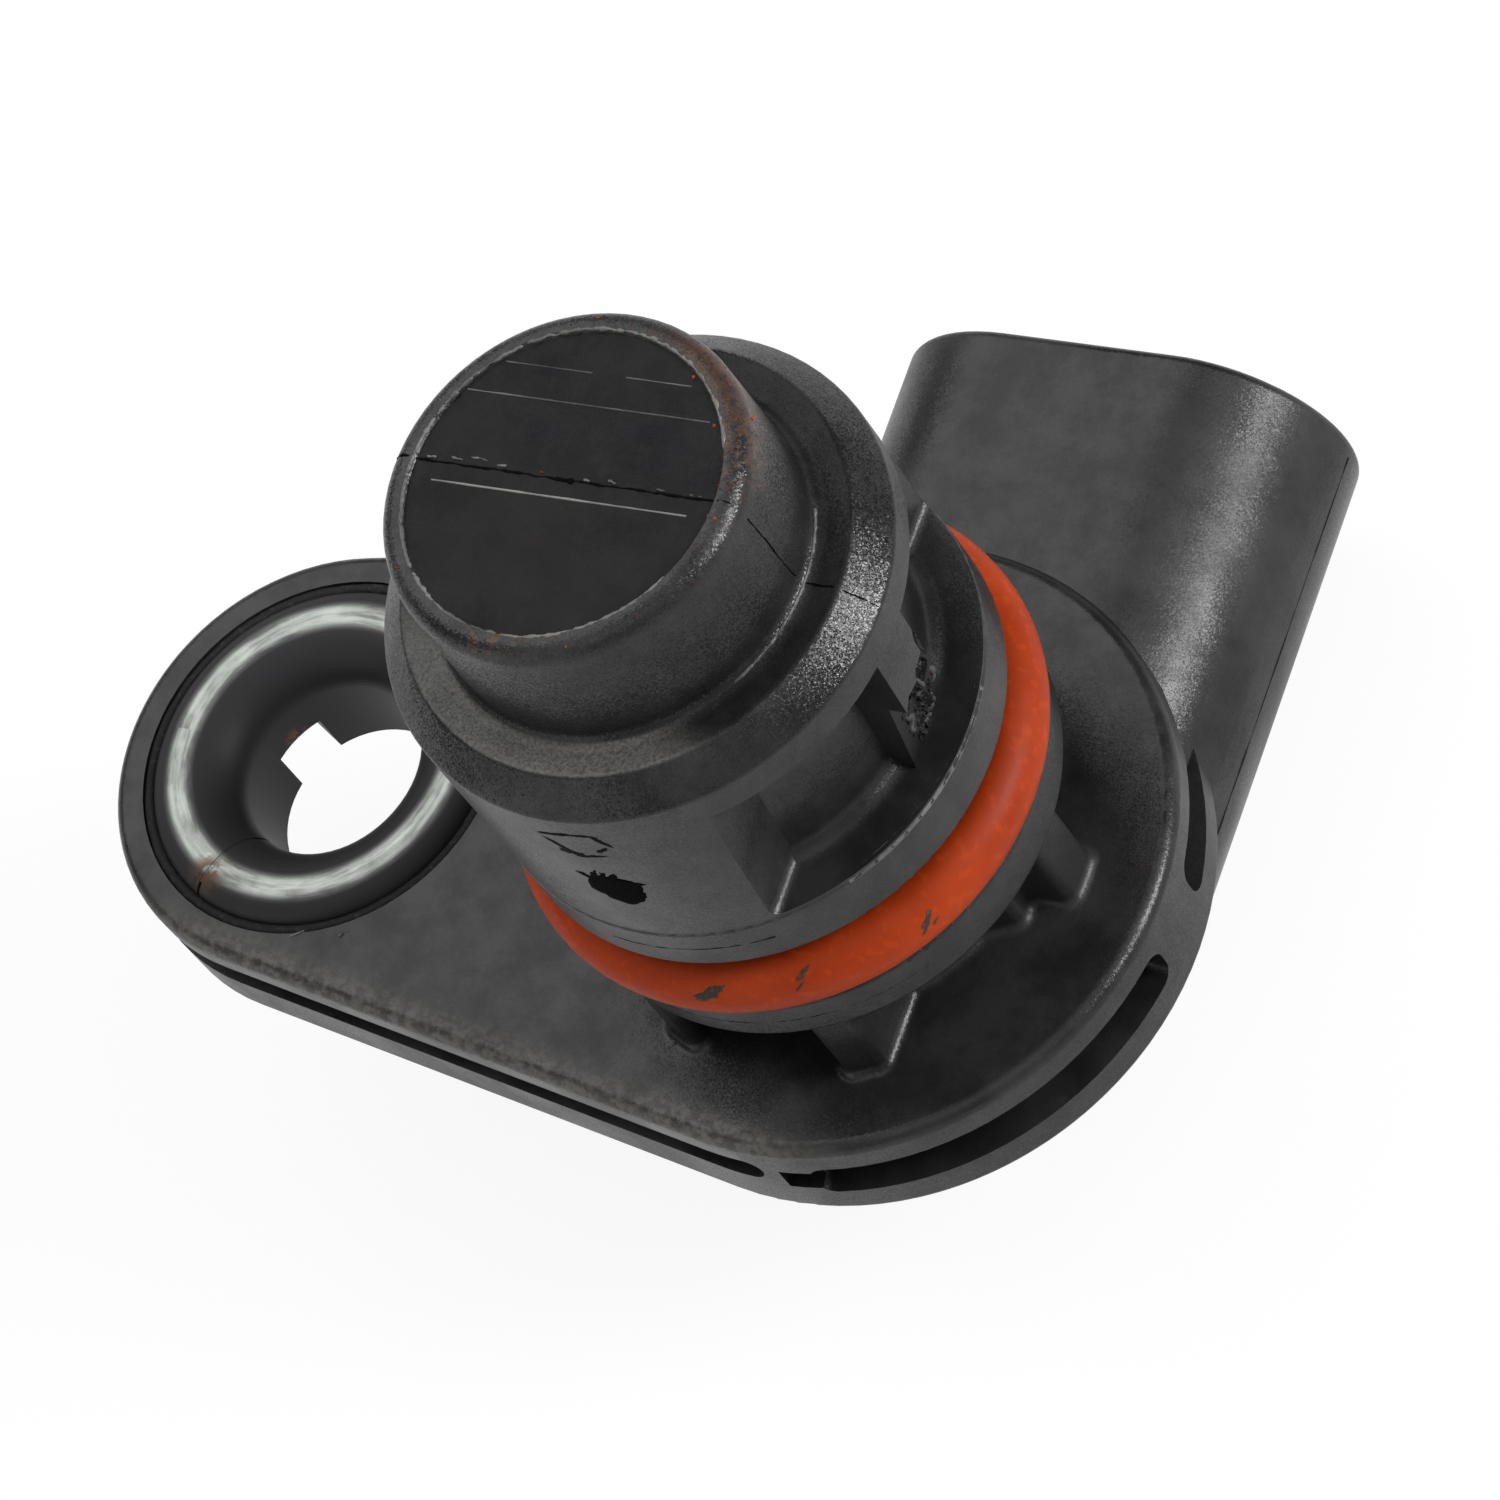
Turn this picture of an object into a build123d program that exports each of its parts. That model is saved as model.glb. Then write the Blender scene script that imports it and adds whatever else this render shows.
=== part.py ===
from build123d import *
import os

# Camshaft position sensor, in millimetres.
# The origin is the middle of the flange's mounting face on the probe axis.
# +Z runs along the probe to its sensing tip, -X points to the bolt, +Y to the connector mouth.

# How far a joined form runs into its neighbour, and how far a cut runs past a face
SINK = 0.30
OVERRUN = 1.00

# Flange
FLANGE_R = 11.66
EAR_R = 8.10
BOLT_X = -21.34
FLANGE_T = 4.55
TOP_EDGE_R = 0.50
LOW_EDGE_R = 0.35
SLOT_TOP = 1.35
SLOT_H = 1.75
SLOT_DEPTH = 2.80
SLOT_CORNER_R = 0.65
SLOT_AZ = ((-81.0, -7.2), (6.4, 44.0))
LEAD_IN_AZ = (-86.5, -80.0)
LEAD_IN_DEPTH = 0.60
LEAD_IN_STEP = 0.30
GROOVE_TOP = 1.20
GROOVE_H = 1.30
GROOVE_DEPTH = 0.50
GROOVE_END_X = -0.60
GROOVE_FAR_X = -8.20

# Neck and its webs
NECK_R = 6.50
NECK_H = 3.61
WEB_X = 3.40
WEB_T = 1.60
END_WEB_T = 2.00
WEB_REACH = 8.90
WEB_CORNER_R = 0.45
WEB_FOOT_R = 0.40
STUB_PLACE = (6.25, -1.95)
STUB_SIZE = (2.20, 0.95)
STUB_TURN = 25.0

# O-ring gland
GLAND_R = 9.00
LOW_RING_TOP = 5.60
GROOVE_FLOOR_R = 7.19
HIGH_RING_BOTTOM = 9.00
HIGH_RING_TOP = 11.34
RING_EDGE_R = 0.25
CORD_D = 2.40
CORD_Z = 6.90

# Barrel with its draw pockets
DRUM_R = 7.05
BARREL_R = 8.95
DISC_BOTTOM = 18.15
DISC_TOP = 19.40
POCKET_X_LOW = 4.50
POCKET_X_HIGH = 4.92
PANEL_FOOT_R = 0.40
RIB_TOP_Y = 1.32
RIB_LOW_Y = 1.75
RIB_FAR_Y = 1.25
RIB_SETBACK = 0.05
DRUM_FILLET = 0.70
DISC_EDGE_R = 0.12

# Broken gate on the rib at +X: the ragged line (y, z) below which the rib's outer part is gone,
# and the depth (x) of the break at its top and at its foot
TORN_LINE = (
    (-1.53, 15.15),
    (-1.11, 15.54),
    (-0.53, 15.51),
    (-0.26, 15.85),
    (0.38, 15.93),
    (0.42, 16.59),
    (0.62, 16.95),
    (0.70, 18.10),
)
TORN_X_HIGH = 8.45
TORN_X_LOW = 7.65

# Shoulder and tip
CREST_R = 7.86
CREST_Z = 20.52
TROUGH_R = 7.05
TROUGH_Z = 20.40
TIP_BASE_R = 6.47
TIP_R = 6.39
TIP_Z = 25.81
TIP_EDGE_R = 0.70
FACE_R = 5.47
FACE_RECESS = 0.12
SHOULDER_EDGE_R = 0.25
CREST_EDGE_R = 0.30
TROUGH_FILLET = 0.50

# Connector shroud
SHROUD_X = 1.65
SHROUD_Z = -5.63
SHROUD_HALF_W = 8.53
SHROUD_R = 5.19
SHROUD_BACK_Y = -1.80
SHROUD_MOUTH_Y = 20.26
SHROUD_WALL = 1.30
SOCKET_FLOOR_Y = 9.50
MOUTH_EDGE_R = 0.40
MOUTH_FLARE = 0.40
BACK_EDGE_R = 2.00
LATCH_W = 5.00
LATCH_L = 3.40
LATCH_LAND = 0.80
LATCH_H = 1.20
LATCH_Y = 15.40
RAIL_W = 0.90
RAIL_H = 0.70
RAIL_X = 4.30
RAIL_Y = (6.00, 18.76)
KEY_W = 1.00
KEY_H = 0.60
KEY_SETBACK = 2.00

# Compression limiter in the bolt ear
BORE_R = 3.40
LIMITER_R = 4.90
CROWN_R = 6.55
CROWN_Z = 0.48
CROWN_FLAT = (5.25, 5.55)
CROWN_RISE = (4.45, -0.20)
CROWN_ROLL = (6.12, 0.14)
CROWN_UNDER = -0.70
CROWN_SIDE_Z = -0.17
ENTRY_Z = -1.30
LIMITER_FOOT = -4.60
KEEP_GROOVE_Z = (-3.20, -2.40)
KEEP_GROOVE_R = 4.55
KEEP_GROOVE_SLOPE = 0.20
SEAM_AZ = -115.0
SEAM_W = 0.14
NOTCH_AZ = 151.0
NOTCH_W = 1.95
NOTCH_H = 1.90
MOAT_R = 6.95
MOAT_DEPTH = 0.55

# Lead frame
TERMINAL_NAMES = ("supply", "ground", "signal")
BLADE_PITCH = 3.90
BLADE_W = 1.50
BLADE_T = 0.80
BLADE_TIP_Y = 15.70
BLADE_POINT = 0.90
BLADE_TIP_CHAMFER = 0.22
STEM_PITCH = 2.00
STEM_W = 1.30
STEM_Y = 2.80
STEM_TOP = 10.00
JOG_FAR_Y = 8.20
JOG_NEAR_Y = 4.60
BEND_R = 1.00

# Sensing element
LEAD_W = 0.60
LEAD_T = 0.40
LEAD_LOW = 5.20
LEAD_Z = 24.05
LEAD_BEND_R = 0.35
IC_SIZE = (5.30, 4.60, 1.20)
IC_CHAMFER = 0.60
IC_TOP = 24.90
POLE_SIZE = (5.00, 4.20, 0.50)
MAGNET_SIZE = (5.00, 4.20, 3.60)
MAGNET_EDGE_R = 0.40
CHIP_SIZE = (2.00, 0.90, 1.25)
CHIP_LOW_Z = (0.30, 2.10)
CARRIER_HALF_X = 4.10
CARRIER_Y = (-3.20, 3.20)
CARRIER_BOTTOM = -1.80
CARRIER_EDGE_R = 0.80
MELT_RIB_Z = (1.20, 15.50)
MELT_RIB_H = 0.60
MELT_RIB_REACH = 0.45


def box(x0, x1, y0, y1, z0, z1):
    """A box between two corners."""
    solid = Box(x1 - x0, y1 - y0, z1 - z0)
    return Pos((x0 + x1) / 2, (y0 + y1) / 2, (z0 + z1) / 2) * solid


def drum(radius, z0, z1, x=0.0, y=0.0):
    """An upright cylinder from one height to another."""
    return Pos(x, y, (z0 + z1) / 2) * Cylinder(radius, z1 - z0)


def rounded(face, x, z, radius):
    """The section with its corner nearest to (x, z) rounded."""
    corner = face.vertices().sort_by_distance((x, 0, z))[0]
    return fillet(corner, radius)


def section(points):
    """A closed section in the XZ plane."""
    corners = [(x, 0, z) for x, z in points]
    return make_face(Polyline(*corners, close=True))


def sector(r0, r1, z0, z1, start, end):
    """A piece of a ring between two azimuths."""
    face = section([(r0, z0), (r1, z0), (r1, z1), (r0, z1)])
    return Rot(0, 0, start) * revolve(face, Axis.Z, end - start)


def slot_room(start, end):
    """The room of one rim slot between two azimuths, with rounded ends."""
    low = -SLOT_TOP - SLOT_H
    room = sector(FLANGE_R - SLOT_DEPTH, FLANGE_R + OVERRUN, low, -SLOT_TOP, start, end)
    upright = room.edges().filter_by(Axis.Z)
    radial = [edge for edge in room.edges().filter_by(GeomType.LINE) if edge not in upright]
    return fillet(radial, SLOT_CORNER_R)


def teardrop(grow=0.0):
    """The flange outline: the round about the probe, the ear and their tangents."""
    rounds = Circle(FLANGE_R + grow) + Pos(BOLT_X, 0) * Circle(EAR_R + grow)
    return make_hull(rounds.edges())


def edge_groove():
    """The tapering groove along the straight edges and round the ear."""
    top = Pos(0, 0, -GROOVE_TOP) * teardrop()
    low = Pos(0, 0, -GROOVE_TOP - GROOVE_H) * teardrop(-GROOVE_DEPTH)
    core = loft([top, low], ruled=True)
    slab = extrude(Pos(0, 0, -GROOVE_TOP - GROOVE_H) * teardrop(2.0), GROOVE_H)
    reach = 2.0 * FLANGE_R
    z0, z1 = -GROOVE_TOP - GROOVE_H, -GROOVE_TOP
    near = box(BOLT_X - reach, GROOVE_END_X, -reach, 0, z0, z1)
    near_end = Rot(90, 0, 0) * Cylinder(GROOVE_H / 2, reach)
    near_end = Pos(GROOVE_END_X, -reach / 2, (z0 + z1) / 2) * near_end
    far = box(BOLT_X - reach, GROOVE_FAR_X, 0, reach, z0, z1)
    return (slab - core) & (near + near_end + far)


def flange():
    """The two-plate flange: rounded edges, rim slots with bridges, and the edge groove."""
    plate = extrude(teardrop(), -FLANGE_T)
    plate = fillet(plate.faces().sort_by(Axis.Z)[-1].edges(), TOP_EDGE_R)
    plate = fillet(plate.faces().sort_by(Axis.Z)[0].edges(), LOW_EDGE_R)
    for start, end in SLOT_AZ:
        plate -= slot_room(start, end)
    start, end = LEAD_IN_AZ
    inner, outer = FLANGE_R - LEAD_IN_DEPTH, FLANGE_R + OVERRUN
    z0, z1 = -SLOT_TOP - SLOT_H + LEAD_IN_STEP, -SLOT_TOP - LEAD_IN_STEP
    plate -= sector(inner, outer, z0, z1, start, end)
    return plate - edge_groove()


def neck_outline():
    """The neck and its webs seen along the probe, with every corner rounded."""
    outline = Circle(NECK_R) + Rectangle(2 * GLAND_R, END_WEB_T)
    for x in (-WEB_X, WEB_X):
        outline += Pos(x, 0) * Rectangle(WEB_T, 2 * GLAND_R)
    outline += Pos(*STUB_PLACE) * Rot(0, 0, STUB_TURN) * Rectangle(*STUB_SIZE)
    outline &= Circle(WEB_REACH)
    hollows_rounded = offset(offset(outline, WEB_CORNER_R), -2 * WEB_CORNER_R)
    return offset(hollows_rounded, WEB_CORNER_R)


def flange_with_neck():
    """The flange carrying the webbed neck, with a fillet round the neck's foot."""
    neck = extrude(Pos(0, 0, -SINK) * neck_outline(), NECK_H + 2 * SINK)
    body = flange() + neck
    seats = [face for face in body.faces().filter_by(Axis.Z) if abs(face.center().Z) < SINK / 2]
    return fillet(seats[0].inner_wires()[0].edges(), WEB_FOOT_R)


def probe():
    """The turned form of the probe, from the neck to the sensing tip."""
    face = section([
        (0, -OVERRUN),
        (NECK_R - SINK, -OVERRUN),
        (NECK_R - SINK, NECK_H),
        (GLAND_R, NECK_H),
        (GLAND_R, LOW_RING_TOP),
        (GROOVE_FLOOR_R, LOW_RING_TOP),
        (GROOVE_FLOOR_R, HIGH_RING_BOTTOM),
        (GLAND_R, HIGH_RING_BOTTOM),
        (GLAND_R, HIGH_RING_TOP),
        (DRUM_R, HIGH_RING_TOP),
        (DRUM_R, DISC_BOTTOM),
        (BARREL_R, DISC_BOTTOM),
        (BARREL_R, DISC_TOP),
        (CREST_R, CREST_Z),
        (TROUGH_R, TROUGH_Z),
        (TIP_BASE_R, TROUGH_Z),
        (TIP_R, TIP_Z),
        (FACE_R + FACE_RECESS, TIP_Z),
        (FACE_R, TIP_Z - FACE_RECESS),
        (0, TIP_Z - FACE_RECESS),
    ])
    for z in (NECK_H, LOW_RING_TOP, HIGH_RING_BOTTOM, HIGH_RING_TOP):
        face = rounded(face, GLAND_R, z, RING_EDGE_R)
    face = rounded(face, DRUM_R, HIGH_RING_TOP, DRUM_FILLET)
    face = rounded(face, BARREL_R, DISC_BOTTOM, DISC_EDGE_R)
    face = rounded(face, BARREL_R, DISC_TOP, SHOULDER_EDGE_R)
    face = rounded(face, CREST_R, CREST_Z, CREST_EDGE_R)
    face = rounded(face, TIP_BASE_R, TROUGH_Z, TROUGH_FILLET)
    face = rounded(face, TIP_R, TIP_Z, TIP_EDGE_R)
    return revolve(face, Axis.Z)


def pocket_prism(side):
    """The room that the mould's slide leaves beside a flat panel; side is -1 or 1 in Y."""
    face = section([
        (POCKET_X_LOW, HIGH_RING_TOP),
        (POCKET_X_HIGH, DISC_BOTTOM),
        (2 * BARREL_R, DISC_BOTTOM),
        (2 * BARREL_R, HIGH_RING_TOP),
    ])
    face = rounded(face, POCKET_X_LOW, HIGH_RING_TOP, PANEL_FOOT_R)
    return extrude(face, 2 * BARREL_R, dir=(0, side, 0))


def rib_block(sign):
    """The radial rib at the parting line, which widens downwards; its far side is upright."""
    low, high = HIGH_RING_TOP - SINK, DISC_BOTTOM + SINK
    outline = [(-RIB_LOW_Y, low), (RIB_FAR_Y, low), (RIB_FAR_Y, high), (-RIB_TOP_Y, high)]
    face = make_face(Polyline(*[(0, y, z) for y, z in outline], close=True))
    block = extrude(face, 2 * BARREL_R, dir=(sign, 0, 0))
    return block & drum(BARREL_R - RIB_SETBACK, low, high)


def torn_gate():
    """What the break takes off the rib at +X: all that lies outside it below the ragged line."""
    low, far = HIGH_RING_TOP, 2 * BARREL_R
    side = RIB_LOW_Y + SINK
    outline = [(-side, low), (-side, TORN_LINE[0][1]), *TORN_LINE]
    outline += [(side, DISC_BOTTOM), (side, low)]
    face = make_face(Polyline(*[(0, y, z) for y, z in outline], close=True))
    below = extrude(face, far, dir=(1, 0, 0))
    depth = section([(TORN_X_LOW, low), (TORN_X_HIGH, DISC_BOTTOM), (far, DISC_BOTTOM), (far, low)])
    return below & extrude(depth, side, both=True, dir=(0, 1, 0))


def barrel():
    """The barrel wall between the upper gland ring and the shoulder disc."""
    wall = drum(BARREL_R, HIGH_RING_TOP - 2 * SINK, DISC_BOTTOM + 2 * SINK)
    wall -= drum(DRUM_R - OVERRUN, HIGH_RING_TOP - OVERRUN, DISC_BOTTOM + OVERRUN)
    for side in (-1, 1):
        prism = pocket_prism(side)
        wall -= prism + mirror(prism, Plane.YZ)
    return wall + rib_block(1) + rib_block(-1)


def stadium(half_width, radius, y):
    """A full-round slot outline across the connector, at a given Y."""
    flat = 2 * (half_width - radius)
    plane = Plane(origin=(SHROUD_X, y, SHROUD_Z), x_dir=(1, 0, 0), z_dir=(0, 1, 0))
    return plane * SlotCenterToCenter(flat, 2 * radius)


def shroud():
    """The connector shroud before its socket is cut, with latch ramp and guide rails beneath."""
    body = extrude(stadium(SHROUD_HALF_W, SHROUD_R, SHROUD_BACK_Y), SHROUD_MOUTH_Y - SHROUD_BACK_Y)
    body = fillet(body.faces().sort_by(Axis.Y)[-1].edges(), MOUTH_EDGE_R)
    body = fillet(body.faces().sort_by(Axis.Y)[0].edges(), BACK_EDGE_R)
    base = SHROUD_Z - SHROUD_R
    ramp = Polyline(
        (SHROUD_X, LATCH_Y, base + SINK),
        (SHROUD_X, LATCH_Y, base - LATCH_H),
        (SHROUD_X, LATCH_Y + LATCH_LAND, base - LATCH_H),
        (SHROUD_X, LATCH_Y + LATCH_L, base + SINK),
        close=True,
    )
    body += extrude(make_face(ramp), LATCH_W / 2, both=True, dir=(1, 0, 0))
    for sign in (-1, 1):
        x = SHROUD_X + sign * RAIL_X
        body += box(x - RAIL_W / 2, x + RAIL_W / 2, *RAIL_Y, base - RAIL_H, base + 2 * SINK)
    return body


def socket():
    """The room inside the shroud, with a lead-in at its mouth and a key rib left standing."""
    half_w, radius = SHROUD_HALF_W - SHROUD_WALL, SHROUD_R - SHROUD_WALL
    depth = SHROUD_MOUTH_Y - SOCKET_FLOOR_Y
    room = extrude(stadium(half_w, radius, SOCKET_FLOOR_Y), depth + OVERRUN)
    lead_in = loft([
        stadium(half_w, radius, SHROUD_MOUTH_Y - MOUTH_FLARE),
        stadium(half_w + MOUTH_FLARE, radius + MOUTH_FLARE, SHROUD_MOUTH_Y),
    ])
    floor = SHROUD_Z - radius
    x0, x1 = SHROUD_X - KEY_W / 2, SHROUD_X + KEY_W / 2
    y0, y1 = SOCKET_FLOOR_Y - OVERRUN, SHROUD_MOUTH_Y - KEY_SETBACK
    key = box(x0, x1, y0, y1, floor - SINK, floor + KEY_H)
    return room + lead_in - key


def limiter_envelope():
    """The limiter without its seam and notch: the room that it takes in the ear."""
    inner, outer = CROWN_FLAT
    rise_r, rise_z = CROWN_RISE
    roll_r, roll_z = CROWN_ROLL
    flare = Bezier(
        (BORE_R, 0, ENTRY_Z),
        (BORE_R, 0, rise_z),
        (rise_r, 0, CROWN_Z),
        (inner, 0, CROWN_Z),
    )
    crown = Line((inner, 0, CROWN_Z), (outer, 0, CROWN_Z))
    roll = Bezier(
        (outer, 0, CROWN_Z),
        (roll_r, 0, CROWN_Z),
        (CROWN_R, 0, roll_z),
        (CROWN_R, 0, CROWN_SIDE_Z),
    )
    groove_low, groove_high = KEEP_GROOVE_Z
    rest = Polyline(
        (CROWN_R, 0, CROWN_SIDE_Z),
        (CROWN_R, 0, CROWN_UNDER),
        (LIMITER_R, 0, CROWN_UNDER),
        (LIMITER_R, 0, groove_high),
        (KEEP_GROOVE_R, 0, groove_high - KEEP_GROOVE_SLOPE),
        (KEEP_GROOVE_R, 0, groove_low + KEEP_GROOVE_SLOPE),
        (LIMITER_R, 0, groove_low),
        (LIMITER_R, 0, LIMITER_FOOT),
        (BORE_R, 0, LIMITER_FOOT),
        (BORE_R, 0, ENTRY_Z),
    )
    face = make_face(flare + crown + roll + rest)
    return Pos(BOLT_X, 0, 0) * revolve(face, Axis.Z)


def mounting_bushing():
    """The rolled steel compression limiter, with its seam and the notch in its foot."""
    ring = limiter_envelope()
    low, high = LIMITER_FOOT - OVERRUN, CROWN_Z + OVERRUN
    seam = box(0, CROWN_R + OVERRUN, -SEAM_W / 2, SEAM_W / 2, low, high)
    notch = box(0, LIMITER_R + SINK, -NOTCH_W / 2, NOTCH_W / 2, low, LIMITER_FOOT + NOTCH_H)
    ring -= Pos(BOLT_X, 0, 0) * Rot(0, 0, SEAM_AZ) * seam
    ring -= Pos(BOLT_X, 0, 0) * Rot(0, 0, NOTCH_AZ) * notch
    return ring


def ear_room():
    """What the ear leaves open: the limiter's seat, its bore and the moat round its crown."""
    top = CROWN_Z + OVERRUN
    bore = drum(BORE_R + SINK, LIMITER_FOOT - OVERRUN, top, BOLT_X)
    flare = drum(KEEP_GROOVE_R, ENTRY_Z, top, BOLT_X)
    moat = drum(MOAT_R, -MOAT_DEPTH, top, BOLT_X)
    return limiter_envelope() + bore + flare + moat


def o_ring():
    """The round-cord seal in its gland."""
    return Pos(0, 0, CORD_Z) * Torus(GROOVE_FLOOR_R + CORD_D / 2, CORD_D / 2)


def blade_outline(x_far, x_near):
    """The stamped outline of one terminal's lying part, from blade tip to bend."""
    w, s = BLADE_W / 2, STEM_W / 2
    tip = BLADE_TIP_Y
    bend = STEM_Y + BLADE_T / 2 + BEND_R
    return make_face(Polyline(
        (x_far - w, JOG_FAR_Y),
        (x_far - w, tip - BLADE_POINT),
        (x_far - w / 2, tip),
        (x_far + w / 2, tip),
        (x_far + w, tip - BLADE_POINT),
        (x_far + w, JOG_FAR_Y),
        (x_near + s, JOG_NEAR_Y),
        (x_near + s, bend),
        (x_near - s, bend),
        (x_near - s, JOG_NEAR_Y),
        close=True,
    ))


def terminal(index):
    """One stamped terminal: a blade in the socket, a jog, a bend and an upright stem."""
    x_far = SHROUD_X + (index - 1) * BLADE_PITCH
    x_near = (index - 1) * STEM_PITCH
    t = BLADE_T
    lying = Pos(0, 0, SHROUD_Z - t / 2) * extrude(blade_outline(x_far, x_near), t)
    tip_edges = lying.edges().filter_by(Axis.X).sort_by(Axis.Y)[-2:]
    lying = chamfer(tip_edges, BLADE_TIP_CHAMFER)
    turn_z = SHROUD_Z + t / 2 + BEND_R
    turn_y = STEM_Y + t / 2 + BEND_R
    x0, x1 = x_near - STEM_W / 2, x_near + STEM_W / 2
    stem = box(x0, x1, STEM_Y - t / 2, STEM_Y + t / 2, turn_z, STEM_TOP)
    strip_end = make_face(Polyline(
        (x0, turn_y, turn_z - BEND_R),
        (x1, turn_y, turn_z - BEND_R),
        (x1, turn_y, turn_z - BEND_R - t),
        (x0, turn_y, turn_z - BEND_R - t),
        close=True,
    ))
    bend = revolve(strip_end, Axis((x_near, turn_y, turn_z), (1, 0, 0)), -90)
    return lying + bend + stem


def ic_lead(index):
    """One lead of the sensing chip: flat on its terminal, then over the carrier's edge."""
    x = (index - 1) * STEM_PITCH
    y0 = STEM_Y + BLADE_T / 2
    y_in = IC_SIZE[1] / 2
    outline = Polyline(
        (x, y0, LEAD_LOW),
        (x, y0 + LEAD_T, LEAD_LOW),
        (x, y0 + LEAD_T, LEAD_Z + LEAD_T),
        (x, y_in, LEAD_Z + LEAD_T),
        (x, y_in, LEAD_Z),
        (x, y0, LEAD_Z),
        close=True,
    )
    lead = extrude(make_face(outline), LEAD_W / 2, both=True, dir=(1, 0, 0))
    corner = lead.edges().filter_by(Axis.X).sort_by_distance((x, y0 + LEAD_T, LEAD_Z + LEAD_T))[0]
    return fillet(corner, LEAD_BEND_R)


def hall_ic():
    """The moulded chip package that lies behind the sensing face."""
    x, y, z = IC_SIZE
    body = box(-x / 2, x / 2, -y / 2, y / 2, IC_TOP - z, IC_TOP)
    return chamfer(body.edges().filter_by(Axis.Z).sort_by(Axis.Y)[:2], IC_CHAMFER)


def stacked(size, top):
    """A block on the probe axis with its top at a given height."""
    x, y, z = size
    return box(-x / 2, x / 2, -y / 2, y / 2, top - z, top)


def pole_plate():
    """The steel plate that spreads the field between magnet and chip."""
    return stacked(POLE_SIZE, IC_TOP - IC_SIZE[2])


def bias_magnet():
    """The block magnet under the pole plate."""
    block = stacked(MAGNET_SIZE, IC_TOP - IC_SIZE[2] - POLE_SIZE[2])
    return fillet(block.edges().filter_by(Axis.Z), MAGNET_EDGE_R)


def capacitor(sign):
    """A chip capacitor bridging the ground stem and one of its neighbours."""
    x, y, z = CHIP_SIZE
    x0 = 0.0 if sign > 0 else -x
    y0 = STEM_Y + BLADE_T / 2
    z0 = CHIP_LOW_Z[1] if sign > 0 else CHIP_LOW_Z[0]
    return box(x0, x0 + x, y0, y0 + y, z0, z0 + z)


def sensor_carrier(inner):
    """The moulded carrier that holds the sensing stack and the stems, before overmoulding."""
    y0, y1 = CARRIER_Y
    body = box(-CARRIER_HALF_X, CARRIER_HALF_X, y0, y1, CARRIER_BOTTOM, IC_TOP)
    body = fillet(body.edges().filter_by(Axis.Z), CARRIER_EDGE_R)
    reach = MELT_RIB_REACH
    for z in MELT_RIB_Z:
        rib = box(-CARRIER_HALF_X - reach, CARRIER_HALF_X + reach, y0 - reach, 0, z, z + MELT_RIB_H)
        body += fillet(rib.edges().filter_by(Axis.Z), CARRIER_EDGE_R)
    for piece in inner:
        body -= piece
    return body


def housing(inner):
    """The overmoulded housing: flange, probe and connector shroud in one moulding."""
    body = flange_with_neck() + probe()
    body += barrel()
    body -= torn_gate()
    body += shroud()
    body -= socket()
    body -= ear_room()
    for piece in inner:
        body -= piece
    return body


def build():
    """Every piece by its name."""
    parts = {}
    for index, name in enumerate(TERMINAL_NAMES):
        parts["terminal_" + name] = terminal(index)
    for index, name in enumerate(TERMINAL_NAMES):
        parts["ic_lead_" + name] = ic_lead(index)
    parts["hall_ic"] = hall_ic()
    parts["pole_plate"] = pole_plate()
    parts["bias_magnet"] = bias_magnet()
    parts["capacitor_supply"] = capacitor(-1)
    parts["capacitor_signal"] = capacitor(1)
    parts["sensor_carrier"] = sensor_carrier(list(parts.values()))
    inner = list(parts.values())
    parts["housing"] = housing(inner)
    parts["mounting_bushing"] = mounting_bushing()
    parts["o_ring"] = o_ring()
    return parts


os.makedirs("parts", exist_ok=True)
for node, shape in build().items():
    export_step(shape, os.path.join("parts", node + ".step"))
    print(node, "solids", len(shape.solids()), "volume", round(shape.volume, 1))
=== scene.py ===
import logging
import math
from dataclasses import dataclass
from enum import Enum
from typing import Iterable, Sequence

import bmesh
import bpy
from mathutils import Euler, Matrix, Vector, noise
from mathutils.bvhtree import BVHTree


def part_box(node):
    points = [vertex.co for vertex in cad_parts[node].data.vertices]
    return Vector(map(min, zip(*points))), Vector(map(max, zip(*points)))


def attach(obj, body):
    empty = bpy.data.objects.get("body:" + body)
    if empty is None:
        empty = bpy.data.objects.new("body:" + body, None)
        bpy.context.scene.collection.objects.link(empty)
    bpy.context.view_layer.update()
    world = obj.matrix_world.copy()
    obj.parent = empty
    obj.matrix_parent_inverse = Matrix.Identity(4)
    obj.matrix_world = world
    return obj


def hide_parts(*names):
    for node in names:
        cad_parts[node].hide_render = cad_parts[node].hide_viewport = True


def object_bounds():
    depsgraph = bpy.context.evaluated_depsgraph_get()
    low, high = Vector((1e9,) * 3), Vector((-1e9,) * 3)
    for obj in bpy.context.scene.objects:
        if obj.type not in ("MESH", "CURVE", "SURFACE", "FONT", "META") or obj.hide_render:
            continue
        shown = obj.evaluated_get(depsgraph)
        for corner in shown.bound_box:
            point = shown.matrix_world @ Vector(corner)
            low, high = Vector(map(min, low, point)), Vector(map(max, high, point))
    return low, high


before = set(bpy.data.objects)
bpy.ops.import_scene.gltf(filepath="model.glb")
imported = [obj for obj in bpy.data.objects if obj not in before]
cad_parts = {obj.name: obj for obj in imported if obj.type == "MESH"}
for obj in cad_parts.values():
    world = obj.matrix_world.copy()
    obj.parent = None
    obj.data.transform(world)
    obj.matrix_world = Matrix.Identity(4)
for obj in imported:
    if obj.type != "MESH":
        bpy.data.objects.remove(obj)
CAD_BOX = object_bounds()

MM = 0.001
BODY = "root"
LOG = logging.getLogger("camshaft_sensor")

Colour = tuple[float, float, float]
Place = tuple[float, float, float]
Socket = bpy.types.NodeSocket
Run = tuple[Place, ...]

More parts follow.
